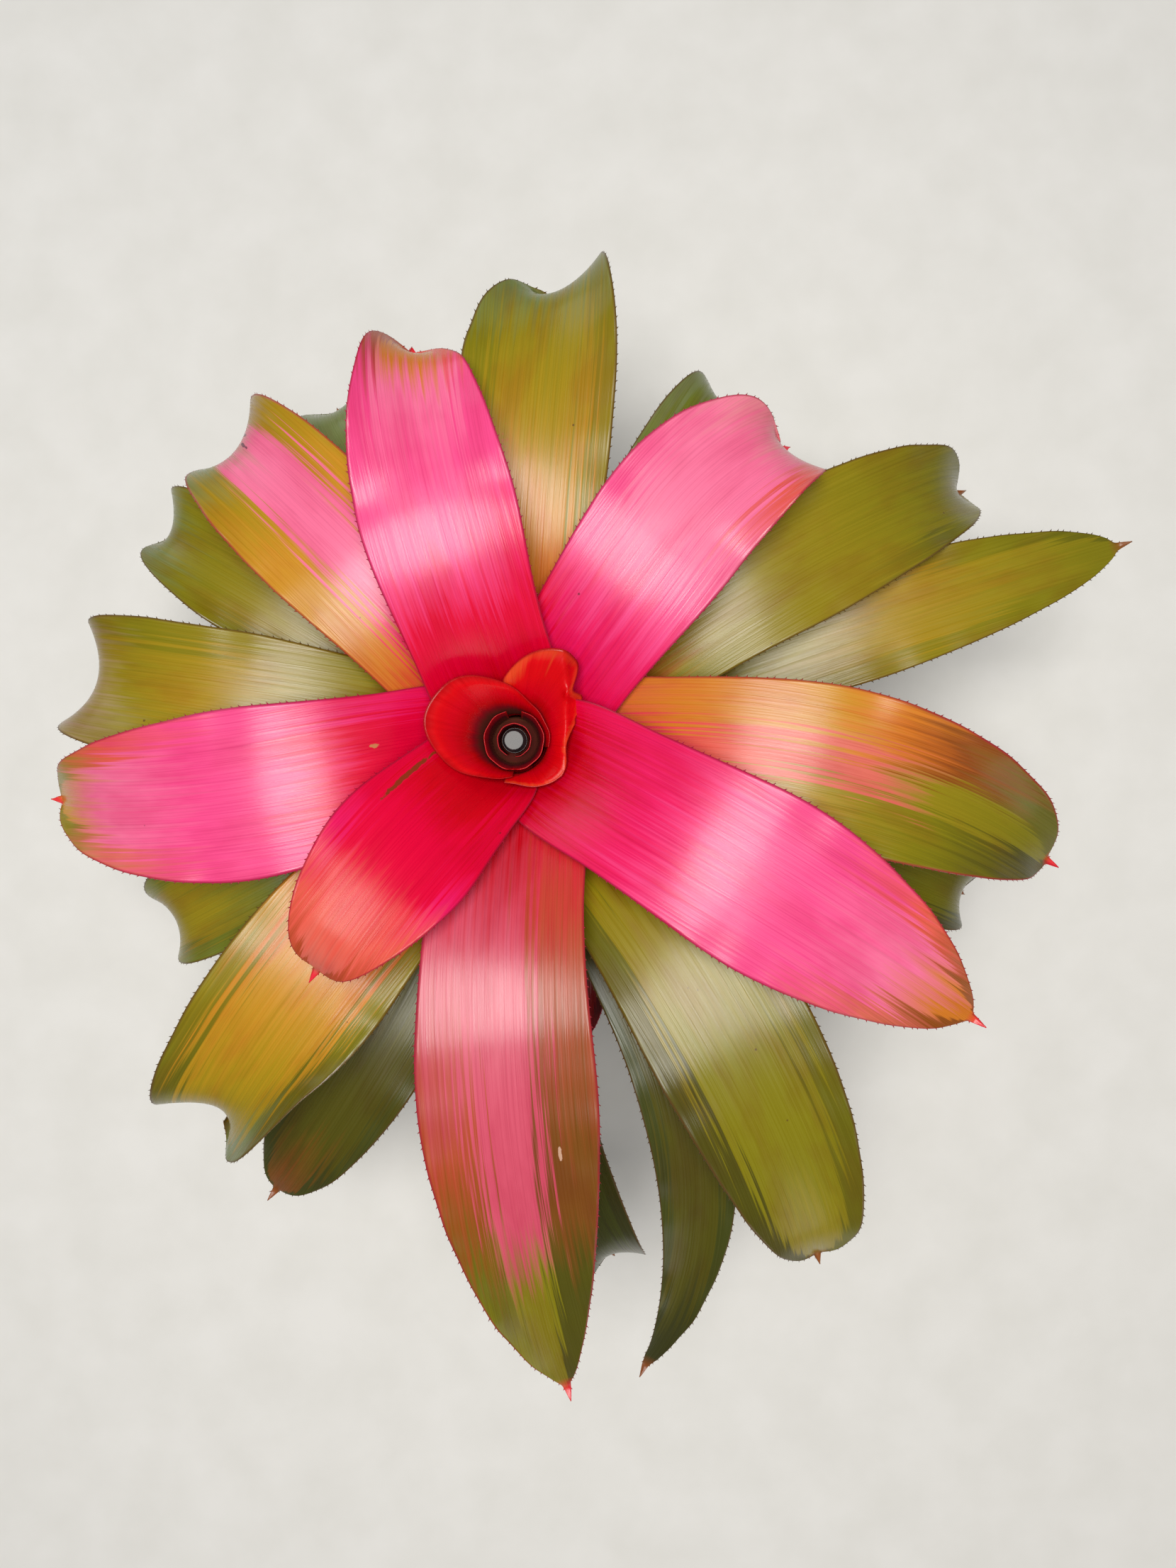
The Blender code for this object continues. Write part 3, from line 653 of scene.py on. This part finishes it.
def leaf_outline(leaf, s, reach):
    """Half the blade's width at the fractions s: full at the root, a slight waist above
    the clasp, full again over the arch, closing to the tip, where a short point goes on
    from the rounded end. It never wraps more than most of the way round the stem."""
    narrow = np.where(s < 0.28, smooth((s - 0.1) / 0.18), 1.0 - smooth((s - 0.28) / 0.3))
    body = 1.0 - 0.12 * narrow
    share = POINT_LENGTH / leaf["length"]
    closing = np.clip((s - leaf["taper"]) / (1.0 - 0.6 * share - leaf["taper"]), 0.0, 1.0)
    body *= np.maximum(1.0 - closing ** 2.2, 0.0) ** (1.0 / leaf["blunt"])
    half = 0.5 * leaf["width"] * body
    sharpen = np.clip((1.0 + 0.4 * share - s) / (1.6 * share), 0.0, 1.0)
    half = np.hypot(half, POINT_HALF_WIDTH * sharpen ** 0.8 * smooth((s - 0.7) / 0.2))
    half = np.maximum(half, 0.12)
    return (half ** -6 + (1.35 * reach) ** -6) ** (-1.0 / 6.0)


def blade_sheet(leaf, rows, columns):
    """The leaf's middle surface as a rows by columns grid, root first.

    The midrib is walked out from the root while its steepness and heading change. Near
    the root each cross-section wraps the stem at one height; further out it opens into a
    shallow channel, whose margins ripple a little. Returns the points, each point's
    fraction of the length, its place across from -1 to 1, and the half-widths.
    """
    over = 0.4 * POINT_LENGTH / leaf["length"]
    path = np.linspace(0.0, 1.0 + over, 601)
    steep = leaf["rise"] * (1.0 - np.minimum(path / leaf["crest"], 1.0))
    steep -= leaf["droop"] * ramp_up(path, leaf["crest"])
    steep -= leaf["curl"] * smooth((path - leaf["curl_from"]) / (1.0 - leaf["curl_from"]))
    steep += leaf["point_lift"] * smooth((path - 1.0) / over + 1.4)
    heading = leaf["azimuth"] + 2.0 * leaf["sweep"] * ramp_up(path, leaf["sweep_from"])
    steep, heading = np.radians(steep), np.radians(heading)
    ahead = np.stack([np.cos(steep) * np.cos(heading),
                      np.cos(steep) * np.sin(heading), np.sin(steep)], axis=1)
    step = ahead * leaf["length"] * (path[1] - path[0])
    walked = np.cumsum((step[1:] + step[:-1]) / 2.0, axis=0)
    bearing = np.radians(leaf["azimuth"])
    root = leaf["clasp_radius"] * np.array([np.cos(bearing), np.sin(bearing), 0.0])
    root[2] = leaf["clasp"]
    midrib = root + np.vstack([np.zeros(3), walked])

    t = np.linspace(0.0, 1.0, rows)
    s = (1.0 + over) * t * (1.35 - 0.35 * t)
    middle = np.stack([np.interp(s, path, midrib[:, i]) for i in range(3)], axis=1)
    ahead = np.stack([np.interp(s, path, ahead[:, i]) for i in range(3)], axis=1)
    ahead /= np.linalg.norm(ahead, axis=1)[:, None]
    turn = np.interp(s, path, heading)
    level = np.stack([-np.sin(turn), np.cos(turn), 0.0 * turn], axis=1)
    twist = np.radians(leaf["roll"] * smooth((s - 0.6) / 0.4))[:, None]
    side = level * np.cos(twist) + np.cross(ahead, level) * np.sin(twist)
    above = np.cross(ahead, side)

    reach = np.hypot(middle[:, 0], middle[:, 1])
    half = leaf_outline(leaf, s, reach)
    v = np.linspace(-1.0, 1.0, columns)
    v = np.sin(v * np.pi / 2.0) * 0.35 + v * 0.65
    offset = half[:, None] * v
    channel = 0.1 + (leaf["channel"] - 0.1) * smooth((s - 0.55) / 0.35)
    lift = (channel * half)[:, None] * v ** 2
    lean = -leaf["length"] * leaf["skew"] * smooth((s - 0.45) / 0.5)
    lean *= smooth((1.0 + over - s) * leaf["length"] / LEAN_FADE)
    rng = np.random.default_rng(int(10 * leaf["length"] + leaf["width"]))
    for size in RIPPLE_LENGTHS:
        phase = rng.uniform(0.0, 2.0 * np.pi, 2)
        wave = 2.0 * np.pi * s * leaf["length"] / size
        for sign in (0, 1):
            one_side = np.clip(v * (1 - 2 * sign), 0.0, 1.0) ** 2.5
            ripple = leaf["ripple"] * np.sin(wave + phase[sign]) * smooth((s - 0.35) / 0.3)
            lift = lift + ripple[:, None] * one_side
    blade = middle[:, None] + side[:, None] * offset[..., None]
    blade += ahead[:, None] * (lean[:, None] * v)[..., None]
    blade += above[:, None] * lift[..., None]

    angle = np.arctan2(middle[:, 1], middle[:, 0])[:, None] + offset / reach[:, None]
    clasping = np.stack([reach[:, None] * np.cos(angle), reach[:, None] * np.sin(angle),
                         np.broadcast_to(middle[:, 2:3], angle.shape)], axis=-1)
    opened = smooth((s - 0.16) / 0.3)[:, None, None]
    points = clasping * (1.0 - opened) + blade * opened
    s, v = np.broadcast_arrays(s[:, None], v[None, :])
    return points, s, v, half


def sheet_normals(points):
    """Unit normals of a grid of points, from its two directions' cross product."""
    normal = np.cross(np.gradient(points, axis=0), np.gradient(points, axis=1))
    return normal / np.maximum(np.linalg.norm(normal, axis=-1, keepdims=True), 1e-9)


def thicken(points, normals, thickness):
    """Points and quads of a closed thin solid: the grid pushed half the thickness along
    its normals each way, and a strip of quads round its four edges."""
    rows, columns = points.shape[:2]
    shift = normals * thickness[..., None] / 2.0
    both = np.concatenate([(points + shift).reshape(-1, 3), (points - shift).reshape(-1, 3)])
    under = rows * columns
    upper = grid_faces(rows, columns)
    index = np.arange(under).reshape(rows, columns)
    edge = np.concatenate([index[:, 0], index[-1, 1:], index[-2::-1, -1],
                           index[0, -2:0:-1]])
    after = np.roll(edge, -1)
    strip = np.stack([edge, edge + under, after + under, after], axis=1)
    return both, [upper, upper[:, ::-1] + under, strip]


def spines(points, normals, s, v, leaf, first_index):
    """Small hooked teeth along both margins: four-sided spikes, about 4 mm apart, with
    their base just inside the margin and leaning towards the tip."""
    rng = np.random.default_rng(int(leaf["length"]))
    spots, tips, shares = [], [], []
    for column, inner in ((0, 1), (-1, -2)):
        line = points[:, column]
        run = np.concatenate([[0.0], np.cumsum(np.linalg.norm(np.diff(line, axis=0),
                                                              axis=1))])
        begin = np.interp(leaf["spines_from"], s[:, 0], run)
        where = np.arange(begin, 0.985 * run[-1], leaf["spine_gap"])
        where = where + rng.uniform(-0.25, 0.25, len(where)) * leaf["spine_gap"]
        read = lambda values: np.stack(
            [np.interp(where, run, values[:, i]) for i in range(3)], axis=1)
        spot, normal = read(line), read(normals[:, column])
        ahead = read(np.gradient(line, axis=0))
        ahead /= np.linalg.norm(ahead, axis=1, keepdims=True)
        outward = read(line - points[:, inner])
        outward -= ahead * np.sum(ahead * outward, axis=1, keepdims=True)
        outward /= np.maximum(np.linalg.norm(outward, axis=1, keepdims=True), 1e-9)
        long = leaf["spine"] * rng.uniform(0.65, 1.15, (len(where), 1))
        base = spot - 0.25 * outward
        corners = [base - 0.5 * ahead, base + 0.22 * normal, base + 0.5 * ahead,
                   base - 0.22 * normal]
        tip = spot + long * (0.75 * outward + 0.6 * ahead)
        turn = 1 if column == 0 else -1
        spots.append(np.stack(corners[::turn], axis=1))
        tips.append(tip)
        share = np.interp(where, run, s[:, 0])
        shares.append(np.stack([share, np.full_like(share, 1.1 * v[0, column])], axis=1))
    spots, tips, shares = np.concatenate(spots), np.concatenate(tips), np.concatenate(shares)
    five = np.concatenate([spots, tips[:, None]], axis=1)
    shift = first_index + 5 * np.arange(len(five))[:, None, None]
    sides = np.array([[0, 1, 4], [1, 2, 4], [2, 3, 4], [3, 0, 4]])
    foot = np.array([[3, 2, 1, 0]])
    faces = [(sides[None] + shift).reshape(-1, 3), (foot[None] + shift).reshape(-1, 4)]
    return five.reshape(-1, 3), faces, np.repeat(shares, 5, axis=0)


def strap_leaf(leaf, skin, rows=190, columns=31):
    """One finished leaf: a blade thickest along its midrib and thin at its margins, with
    its spines. Each point keeps its fraction along and across and which face it is on,
    and its distances along and across in millimetres."""
    points, s, v, half = blade_sheet(leaf, rows, columns)
    normals = sheet_normals(points)
    closing = smooth((1.02 - s) / 0.3)
    thickness = leaf["thick"] * (1.0 - 0.55 * np.abs(v) ** 3) * (0.4 + 0.6 * closing)
    shell, faces = thicken(points, normals, thickness)
    teeth, tooth_faces, tooth_share = spines(points, normals, s, v, leaf, len(shell))
    flat = lambda grid: np.tile(grid.ravel(), 2)
    under = np.repeat([0.0, 1.0], s.size)
    share = np.stack([flat(s), flat(v), under], axis=1)
    far = np.stack([flat(s) * leaf["length"], flat(v * half[:, None]), under], axis=1)
    tooth_far = np.stack([tooth_share[:, 0] * leaf["length"],
                          tooth_share[:, 1] * leaf["width"] / 2.0], axis=1)
    nothing = np.zeros((len(teeth), 1))
    attributes = {"share": np.concatenate([share, np.hstack([tooth_share, nothing])]),
                  "far": np.concatenate([far, np.hstack([tooth_far, nothing])])}
    return new_object(leaf["name"] + "_blade", np.concatenate([shell, teeth]) * MM,
                      faces + tooth_faces, skin, attributes)


def leaf_skin(name, leaf, seed):
    """Bromeliad leaf skin: a waxy cuticle over pigment that runs in lengthwise streaks.

    Three ramps give the colour along the left margin, the middle and the right margin.
    Streaks of noise, stretched along the blade, make each change of colour ragged and
    set how far a margin's colour reaches in. Fine veins, soft clouds and dark specks lie
    over that, the margin itself is a thin dark line, and the back is duller. Streaks are
    about 110 mm long and 2 mm wide, veins 0.7 mm wide, and clouds 45 by 17 mm.
    """
    made, tree, shader = new_material(name, Specular_IOR_Level=leaf["gloss"],
                                      Coat_Weight=0.3 * leaf["gloss"], Coat_Roughness=0.2)
    share = add_node(tree, "Attribute", attribute_name="share")
    far = add_node(tree, "Attribute", attribute_name="far")
    part = add_node(tree, "SeparateXYZ", {"Vector": share.outputs["Vector"]})
    s, v, under = (part.outputs[k] for k in "XYZ")
    noise = {}
    for kind, along, across in (("streak", 0.009, 0.5), ("vein", 0.01, 1.35),
                                ("cloud", 0.022, 0.06)):
        laid = add_node(tree, "Mapping", {"Vector": far.outputs["Vector"],
                                          "Scale": (along, across, 0.0),
                                          "Location": (seed * 3.7, seed * 1.9, 0.0)})
        noise[kind] = add_node(tree, "TexNoise", {"Vector": laid.outputs["Vector"],
                                                  "Scale": 1.0, "Detail": 3.0,
                                                  "Roughness": 0.6}).outputs["Fac"]
    ragged = add_node(tree, "MapRange", {"Value": noise["streak"], "From Min": 0.3,
                                         "From Max": 0.7, "To Min": -leaf["ragged"],
                                         "To Max": leaf["ragged"]})
    cloudy = add_node(tree, "MapRange", {"Value": noise["cloud"], "From Min": 0.3,
                                         "From Max": 0.7, "To Min": -0.03,
                                         "To Max": 0.03})
    reach = add_node(tree, "Math", {0: s, 1: ragged.outputs["Result"]}, operation="ADD")
    reach = add_node(tree, "Math", {0: reach.outputs[0], 1: cloudy.outputs["Result"]},
                     operation="ADD").outputs[0]
    stations = [float(place) for place in leaf["stations"].split()]
    ramps = {}
    for line in ("left", "middle", "right"):
        pigments = leaf.get(line, leaf["left"]).split()
        stops = [(place, PIGMENT[tint]) for place, tint in zip(stations, pigments)]
        ramps[line] = add_node(tree, "ValToRGB", {"Fac": reach}, stops=stops)
    colour = ramps["middle"].outputs["Color"]
    for line, sign, start in zip(("left", "right"), (-1.0, 1.0), leaf["bands"].split()):
        wander = add_node(tree, "Math", {0: noise["streak"], 1: 1.4, 2: -0.7},
                          operation="MULTIPLY_ADD").outputs[0]
        out = add_node(tree, "Math", {0: v, 1: sign, 2: wander},
                       operation="MULTIPLY_ADD").outputs[0]
        share_in = add_node(tree, "MapRange", {"Value": out, "From Min": float(start),
                                               "From Max": float(start) + 0.16},
                            interpolation_type="SMOOTHSTEP").outputs["Result"]
        colour = add_node(tree, "Mix", {0: share_in, 6: colour,
                                        7: ramps[line].outputs["Color"]},
                          data_type="RGBA").outputs[2]
    clouds = add_node(tree, "ValToRGB", {"Fac": noise["cloud"]},
                      stops=[(0.35, "F2DCE4"), (0.55, "FFFFFF")])
    veins = add_node(tree, "ValToRGB", {"Fac": noise["vein"]},
                     stops=[(0.3, "D4CCCC"), (0.5, "F6F4F4"), (0.72, "FFFFFF")])
    for strength, layer in ((0.8, clouds), (0.4, veins)):
        colour = add_node(tree, "Mix", {0: strength, 6: colour, 7: layer.outputs["Color"]},
                          data_type="RGBA", blend_type="MULTIPLY").outputs[2]
    laid = add_node(tree, "Mapping", {"Vector": far.outputs["Vector"],
                                      "Scale": (0.045, 0.045, 0.0),
                                      "Location": (seed * 1.3, seed * 2.3, 0.0)})
    cells = add_node(tree, "TexVoronoi", {"Vector": laid.outputs["Vector"], "Scale": 1.0})
    specks = add_node(tree, "MapRange", {"Value": cells.outputs["Distance"],
                                         "From Min": 0.018, "From Max": 0.03,
                                         "To Min": 0.7, "To Max": 0.0})
    beside = add_node(tree, "Math", {0: v}, operation="ABSOLUTE").outputs[0]
    rim = add_node(tree, "MapRange", {"Value": beside, "From Min": 0.965,
                                      "From Max": 0.995, "To Max": 0.8})
    tipped = add_node(tree, "MapRange", {"Value": s, "From Min": 0.97,
                                         "From Max": 0.995, "To Max": 0.9})
    for mask, tint in ((specks, "4A1C18"), (rim, leaf["rim"]), (tipped, leaf["tip"])):
        colour = add_node(tree, "Mix", {0: mask.outputs["Result"], 6: colour,
                                        7: linear(tint)}, data_type="RGBA").outputs[2]
    for scar in leaf.get("scars", []):
        colour = scarred(tree, colour, far, *scar)
    back = add_node(tree, "Mix", {0: 0.55, 6: colour, 7: linear(leaf["back"])},
                    data_type="RGBA").outputs[2]
    colour = add_node(tree, "Mix", {0: under, 6: colour, 7: back},
                      data_type="RGBA").outputs[2]
    tree.links.new(colour, shader.inputs["Base Color"])
    satin = add_node(tree, "MapRange", {"Value": noise["vein"], "From Min": 0.3,
                                        "From Max": 0.7, "To Min": 0.2, "To Max": 0.38})
    tree.links.new(satin.outputs["Result"], shader.inputs["Roughness"])
    fine = add_node(tree, "Bump", {"Height": noise["vein"], "Distance": 0.00012,
                                   "Strength": 0.7})
    broad = add_node(tree, "Bump", {"Height": noise["streak"], "Distance": 0.0004,
                                    "Strength": 0.5, "Normal": fine.outputs["Normal"]})
    tree.links.new(broad.outputs["Normal"], shader.inputs["Normal"])
    return made


def scarred(tree, colour, far, along, across, long, wide, tint):
    """Mix a dry scar into a colour: an oval at (along, across) millimetres on the blade,
    long by wide, whose edge is broken up by noise."""
    centred = add_node(tree, "Mapping", {"Vector": far.outputs["Vector"],
                                         "Location": (-along / long, -across / wide, 0.0),
                                         "Scale": (1.0 / long, 1.0 / wide, 0.0)})
    torn = add_node(tree, "TexNoise", {"Vector": far.outputs["Vector"], "Scale": 0.45,
                                       "Detail": 5.0})
    size = add_node(tree, "VectorMath", {0: centred.outputs["Vector"]}, operation="LENGTH")
    edge = add_node(tree, "Math", {0: torn.outputs["Fac"], 1: 1.5,
                                   2: size.outputs["Value"]}, operation="MULTIPLY_ADD")
    mask = add_node(tree, "MapRange", {"Value": edge.outputs[0], "From Min": 1.45,
                                       "From Max": 1.65, "To Min": 0.9, "To Max": 0.0})
    return add_node(tree, "Mix", {0: mask.outputs["Result"], 6: colour, 7: linear(tint)},
                    data_type="RGBA").outputs[2]


PINK_LOOK = dict(rim="9C1030", tip="E02038", back="B86A72")
GREEN_LOOK = dict(rim="5A3A1C", tip="8A4A24", back="6E7440")

last = len(ROSETTE) - 1
clasp = LOWEST_CLASP
for rank in range(last, -1, -1):
    look = PINK_LOOK if ROSETTE[rank]["name"].startswith("pink") else GREEN_LOOK
    leaf = {**USUAL, **look, **ROSETTE[rank]}
    leaf["rise"] = INNER_RISE + (OUTER_RISE - INNER_RISE) * (rank / last) ** RISE_POWER
    leaf["clasp"] = clasp
    clasp += STACK / np.cos(radians(leaf["rise"]))
    skin = leaf_skin("waxy_" + leaf["name"] + "_skin", leaf, rank)
    blade = strap_leaf(leaf, skin)
    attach(blade, "root")
    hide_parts(leaf["name"])


# ---------------------------------------------------------------------------------------
# Cup: four young leaves not yet spread, rolled round each other into a tube that holds
# rain water. The two outer ones flare into bright red ears.

LEFT_FOOT = (12.6, 189.0, 1.8)  # foot radius, foot height, flare
RIGHT_FOOT = (12.6, 187.6, 1.8)
CUP_THICKNESS = 0.9
CUP_GAP = 1.7  # from the middle of one roll to the middle of the next
EAR_FOLD = 21.0


def lobe(angle, centre, sharpness):
    """1 at the centre angle, falling to 0 on the far side."""
    return (0.5 + 0.5 * np.cos(angle - np.radians(centre))) ** sharpness


def left_rim(angle):
    return 15.4 + 22.6 * lobe(angle, 158, 3.2), 202.0 + 16.0 * lobe(angle, 158, 3.2)


def right_rim(angle):
    radius = 18.6 + 25.0 * lobe(angle, 57, 8.4) + 7.0 * lobe(angle, -38, 12)
    return radius, 203.0 + 13.0 * lobe(angle, 57, 7)


def front_rim(angle):
    return np.full_like(angle, 12.9), 202.0 - 3.0 * lobe(angle, -93, 300)


def inner_rim(angle):
    return np.full_like(angle, 7.2), np.full_like(angle, 201.0)


def trumpet(angle, height, rim, foot_radius, foot, flare):
    """Radius of a rolled leaf at a height: upright at its foot and flaring to its rim as
    a power of the share of the height climbed."""
    rim_radius, rim_height = rim(angle)
    climbed = np.clip((height - foot) / (rim_height - foot), 0.0, 1.2)
    return foot_radius + (rim_radius - foot_radius) * climbed ** flare


def cup_leaf(name, node, start, stop, rim, foot_radius, foot, flare, skin, inside=None,
             fold=0.0):
    """A rolled leaf from angle start to angle stop, at least CUP_GAP outside the trumpet
    given as inside, thinning to its rim and its two free edges.

    The rim rolls a little outwards. Where fold is set, the part of the ear beyond that
    x turns over and hangs down outside as a ragged flap.
    """
    rows, columns = 220, 44
    u = np.linspace(0.0, 1.0, rows)[:, None]
    t = np.linspace(0.0, 1.0, columns)[None, :]
    angle = np.radians(start + (stop - start) * u) + 0.0 * t
    height = foot + (rim(angle)[1] - foot) * t
    radius = trumpet(angle, height, rim, foot_radius, foot, flare)
    if inside:
        radius = np.maximum(radius, trumpet(angle, height, *inside) + CUP_GAP)
    height = height - 1.2 * smooth((t - 0.86) / 0.14) * smooth((radius - 18.0) / 8.0)
    radius = radius * (1.0 + 0.012 * np.sin(9.0 * angle) * smooth((t - 0.5) / 0.5))
    if fold:
        torn = np.exp(-((np.degrees(angle) - 41.0) / 5.0) ** 2)
        ragged = 0.5 * np.sin(23.0 * angle) + 0.35 * np.sin(41.0 * angle)
        torn = 6.5 * torn + ragged * smooth((60.0 - np.degrees(angle)) / 15.0)
        radius = radius - torn * smooth((t - 0.7) / 0.3) * smooth((radius - 24.0) / 6.0)
        past = np.maximum(radius * np.cos(angle) - fold, 0.0)
        height = height - 1.1 * past * smooth(past / 4.0)
    points = np.stack([radius * np.cos(angle), radius * np.sin(angle), height], axis=-1)
    normals = sheet_normals(points)
    v = 2.0 * u - 1.0 + 0.0 * t
    t = t + 0.0 * v
    thickness = CUP_THICKNESS * (1.0 - 0.5 * np.abs(v) ** 4) * (1.0 - 0.55 * t ** 3)
    shell, faces = thicken(points, normals, thickness)
    outside = np.repeat([1.0, 0.0], angle.size)
    share = np.stack([np.tile(t.ravel(), 2), np.tile(v.ravel(), 2), outside], axis=1)
    far = share * (30.0, 25.0, 1.0)
    piece = new_object(name, shell * MM, faces, skin, {"share": share, "far": far})
    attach(piece, "root")
    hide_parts(node)


def cup_skin(name, seed, colours, rim_colours=None):
    """The young leaves' skin: the same waxy blade, coloured from foot to rim, with its
    free edges in the rim's colours where they differ."""
    leaf = {**USUAL, "left": colours, "middle": colours, "right": rim_colours or colours,
            "ragged": 0.04, "bands": "0.8 0.8", "gloss": 0.16,
            "stations": "0.3 0.42 0.55 0.75 0.9 1.0",
            "rim": "A01010", "tip": "A80C10", "back": "B0202C"}
    return leaf_skin(name, leaf, seed)


# The dark browns, maroons and plums towards each roll's foot, and over most of the inner
# roll, are partly painted shade of the deep tube, over red pigment.
PIGMENT.update(blood="B8040C", fire="D80410", ember="DC4420", wine="80121C",
               maroon="541820", bark_brown="5A2820", black_plum="2C1216")
red_left = cup_skin("waxy_red_left_ear", 31, "bark_brown wine blood scarlet fire blood")
red_right = cup_skin("waxy_red_right_ear", 32, "wine blood scarlet fire fire ember",
                     "wine blood scarlet fire ember ember")
red_front = cup_skin("waxy_red_front_roll", 33,
                     "bark_brown bark_brown maroon wine wine blood")
plum = cup_skin("waxy_plum_inner_roll", 34, "black_plum black_plum maroon maroon wine wine")
cup_leaf("left_ear", "cup_leaf_left", -12, 268, left_rim, *LEFT_FOOT, red_left)
cup_leaf("right_ear", "cup_leaf_right", -103, 100, right_rim, *RIGHT_FOOT, red_right,
         inside=(left_rim, *LEFT_FOOT), fold=EAR_FOLD)
cup_leaf("front_roll", "cup_leaf_front", -255, 75, front_rim, 10.4, 191.0, 1.6, red_front)
cup_leaf("inner_roll", "cup_leaf_inner", -85, 245, inner_rim, 6.6, 191.5, 1.0, plum)


# ---------------------------------------------------------------------------------------
# Water: rain water standing in the innermost roll, its surface drawn up at the wall.

water_low, water_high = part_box("cup_water")
WATER_RADIUS = water_high.x / MM
WATER_LEVEL = water_high.z / MM
WATER_FOOT = water_low.z / MM
MENISCUS = 0.5
turn = np.linspace(0.0, 2.0 * np.pi, 64, endpoint=False)[None, :]
out = np.linspace(0.03, 1.0, 24)[:, None]
level = WATER_LEVEL - MENISCUS * (1.0 - out ** 2.6)
profile = np.concatenate([np.hstack([out, level]), [[1.0, WATER_FOOT], [0.03, WATER_FOOT]]])
radius, height = WATER_RADIUS * profile[:, :1], profile[:, 1:]
rings = np.stack([radius * np.cos(turn), radius * np.sin(turn),
                  height + 0.0 * turn], axis=-1)
points, faces = turned_solid(rings, [0.0, 0.0, level[0, 0]], [0.0, 0.0, WATER_FOOT])
# Rain water: glassy, opaque and nearly black, a tea-brown tint with painted shade of the deep
# tube beneath it, dulled a little by a thin film. Patches of tint and film are about 4 mm
# across.
water_skin, tree, shader = new_material("rain_water", Roughness=0.03, IOR=1.333)
place = add_node(tree, "TexCoord")
murk = add_node(tree, "TexNoise", {"Vector": place.outputs["Object"], "Scale": 260.0,
                                   "Detail": 4.0})
# Painted shade: this near-black base colour stands in for the shaded depth under the water.
depth_shade_tint = add_node(tree, "ValToRGB", {"Fac": murk.outputs["Fac"]},
                     stops=[(0.35, "140A0C"), (0.7, "2C1A1A")])
film = add_node(tree, "MapRange", {"Value": murk.outputs["Fac"], "To Min": 0.02,
                                   "To Max": 0.09})
tree.links.new(depth_shade_tint.outputs["Color"], shader.inputs["Base Color"])
tree.links.new(film.outputs["Result"], shader.inputs["Roughness"])
water = new_object("rain_water", points, faces, water_skin)
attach(water, "root")
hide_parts("cup_water")


# ---------------------------------------------------------------------------------------
# Side shoot: a young offset beside the main stem, with short pointed leaves that are red
# where they reach the light and maroon below.

SHOOT = [
    dict(name="shoot_leaf_1", azimuth=-72, length=66, width=26, crest=0.7, droop=5,
         rise=50, clasp=124, left="wine blood scarlet ember ember coral",
         middle="wine blood crimson coral coral coral"),
    dict(name="shoot_leaf_2", azimuth=-87, length=92, width=34, rise=36, clasp=119,
         left="black_plum maroon maroon maroon maroon wine",
         middle="maroon maroon maroon wine wine wine"),
    dict(name="shoot_leaf_3", azimuth=10, length=60, width=26, rise=34, clasp=116.5,
         left="maroon maroon wine wine bark_brown umber",
         middle="maroon wine wine wine bark_brown umber"),
    dict(name="shoot_leaf_4", azimuth=185, length=60, width=26, rise=32, clasp=114,
         left="maroon bark_brown bark_brown umber umber deep_olive",
         middle="bark_brown bark_brown umber umber umber deep_olive"),
]
SHOOT_FORM = dict(crest=0.6, droop=10, curl=10, taper=0.4, blunt=1.4, clasp_radius=4.6,
                  thick=0.85, ripple=0.15, spine=0.8, spine_gap=2.6, spines_from=0.35)
for seed, shape in enumerate(SHOOT, start=41):
    leaf = {**USUAL, **PINK_LOOK, **SHOOT_FORM, **shape}
    skin = leaf_skin("waxy_" + leaf["name"] + "_skin", leaf, seed)
    blade = strap_leaf(leaf, skin, rows=90, columns=21)
    place = np.array([*SHOOT_PLACE, 0.0]) * MM
    blade.data.transform(Matrix.Translation(place))
    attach(blade, "root")
    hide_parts(leaf["name"])
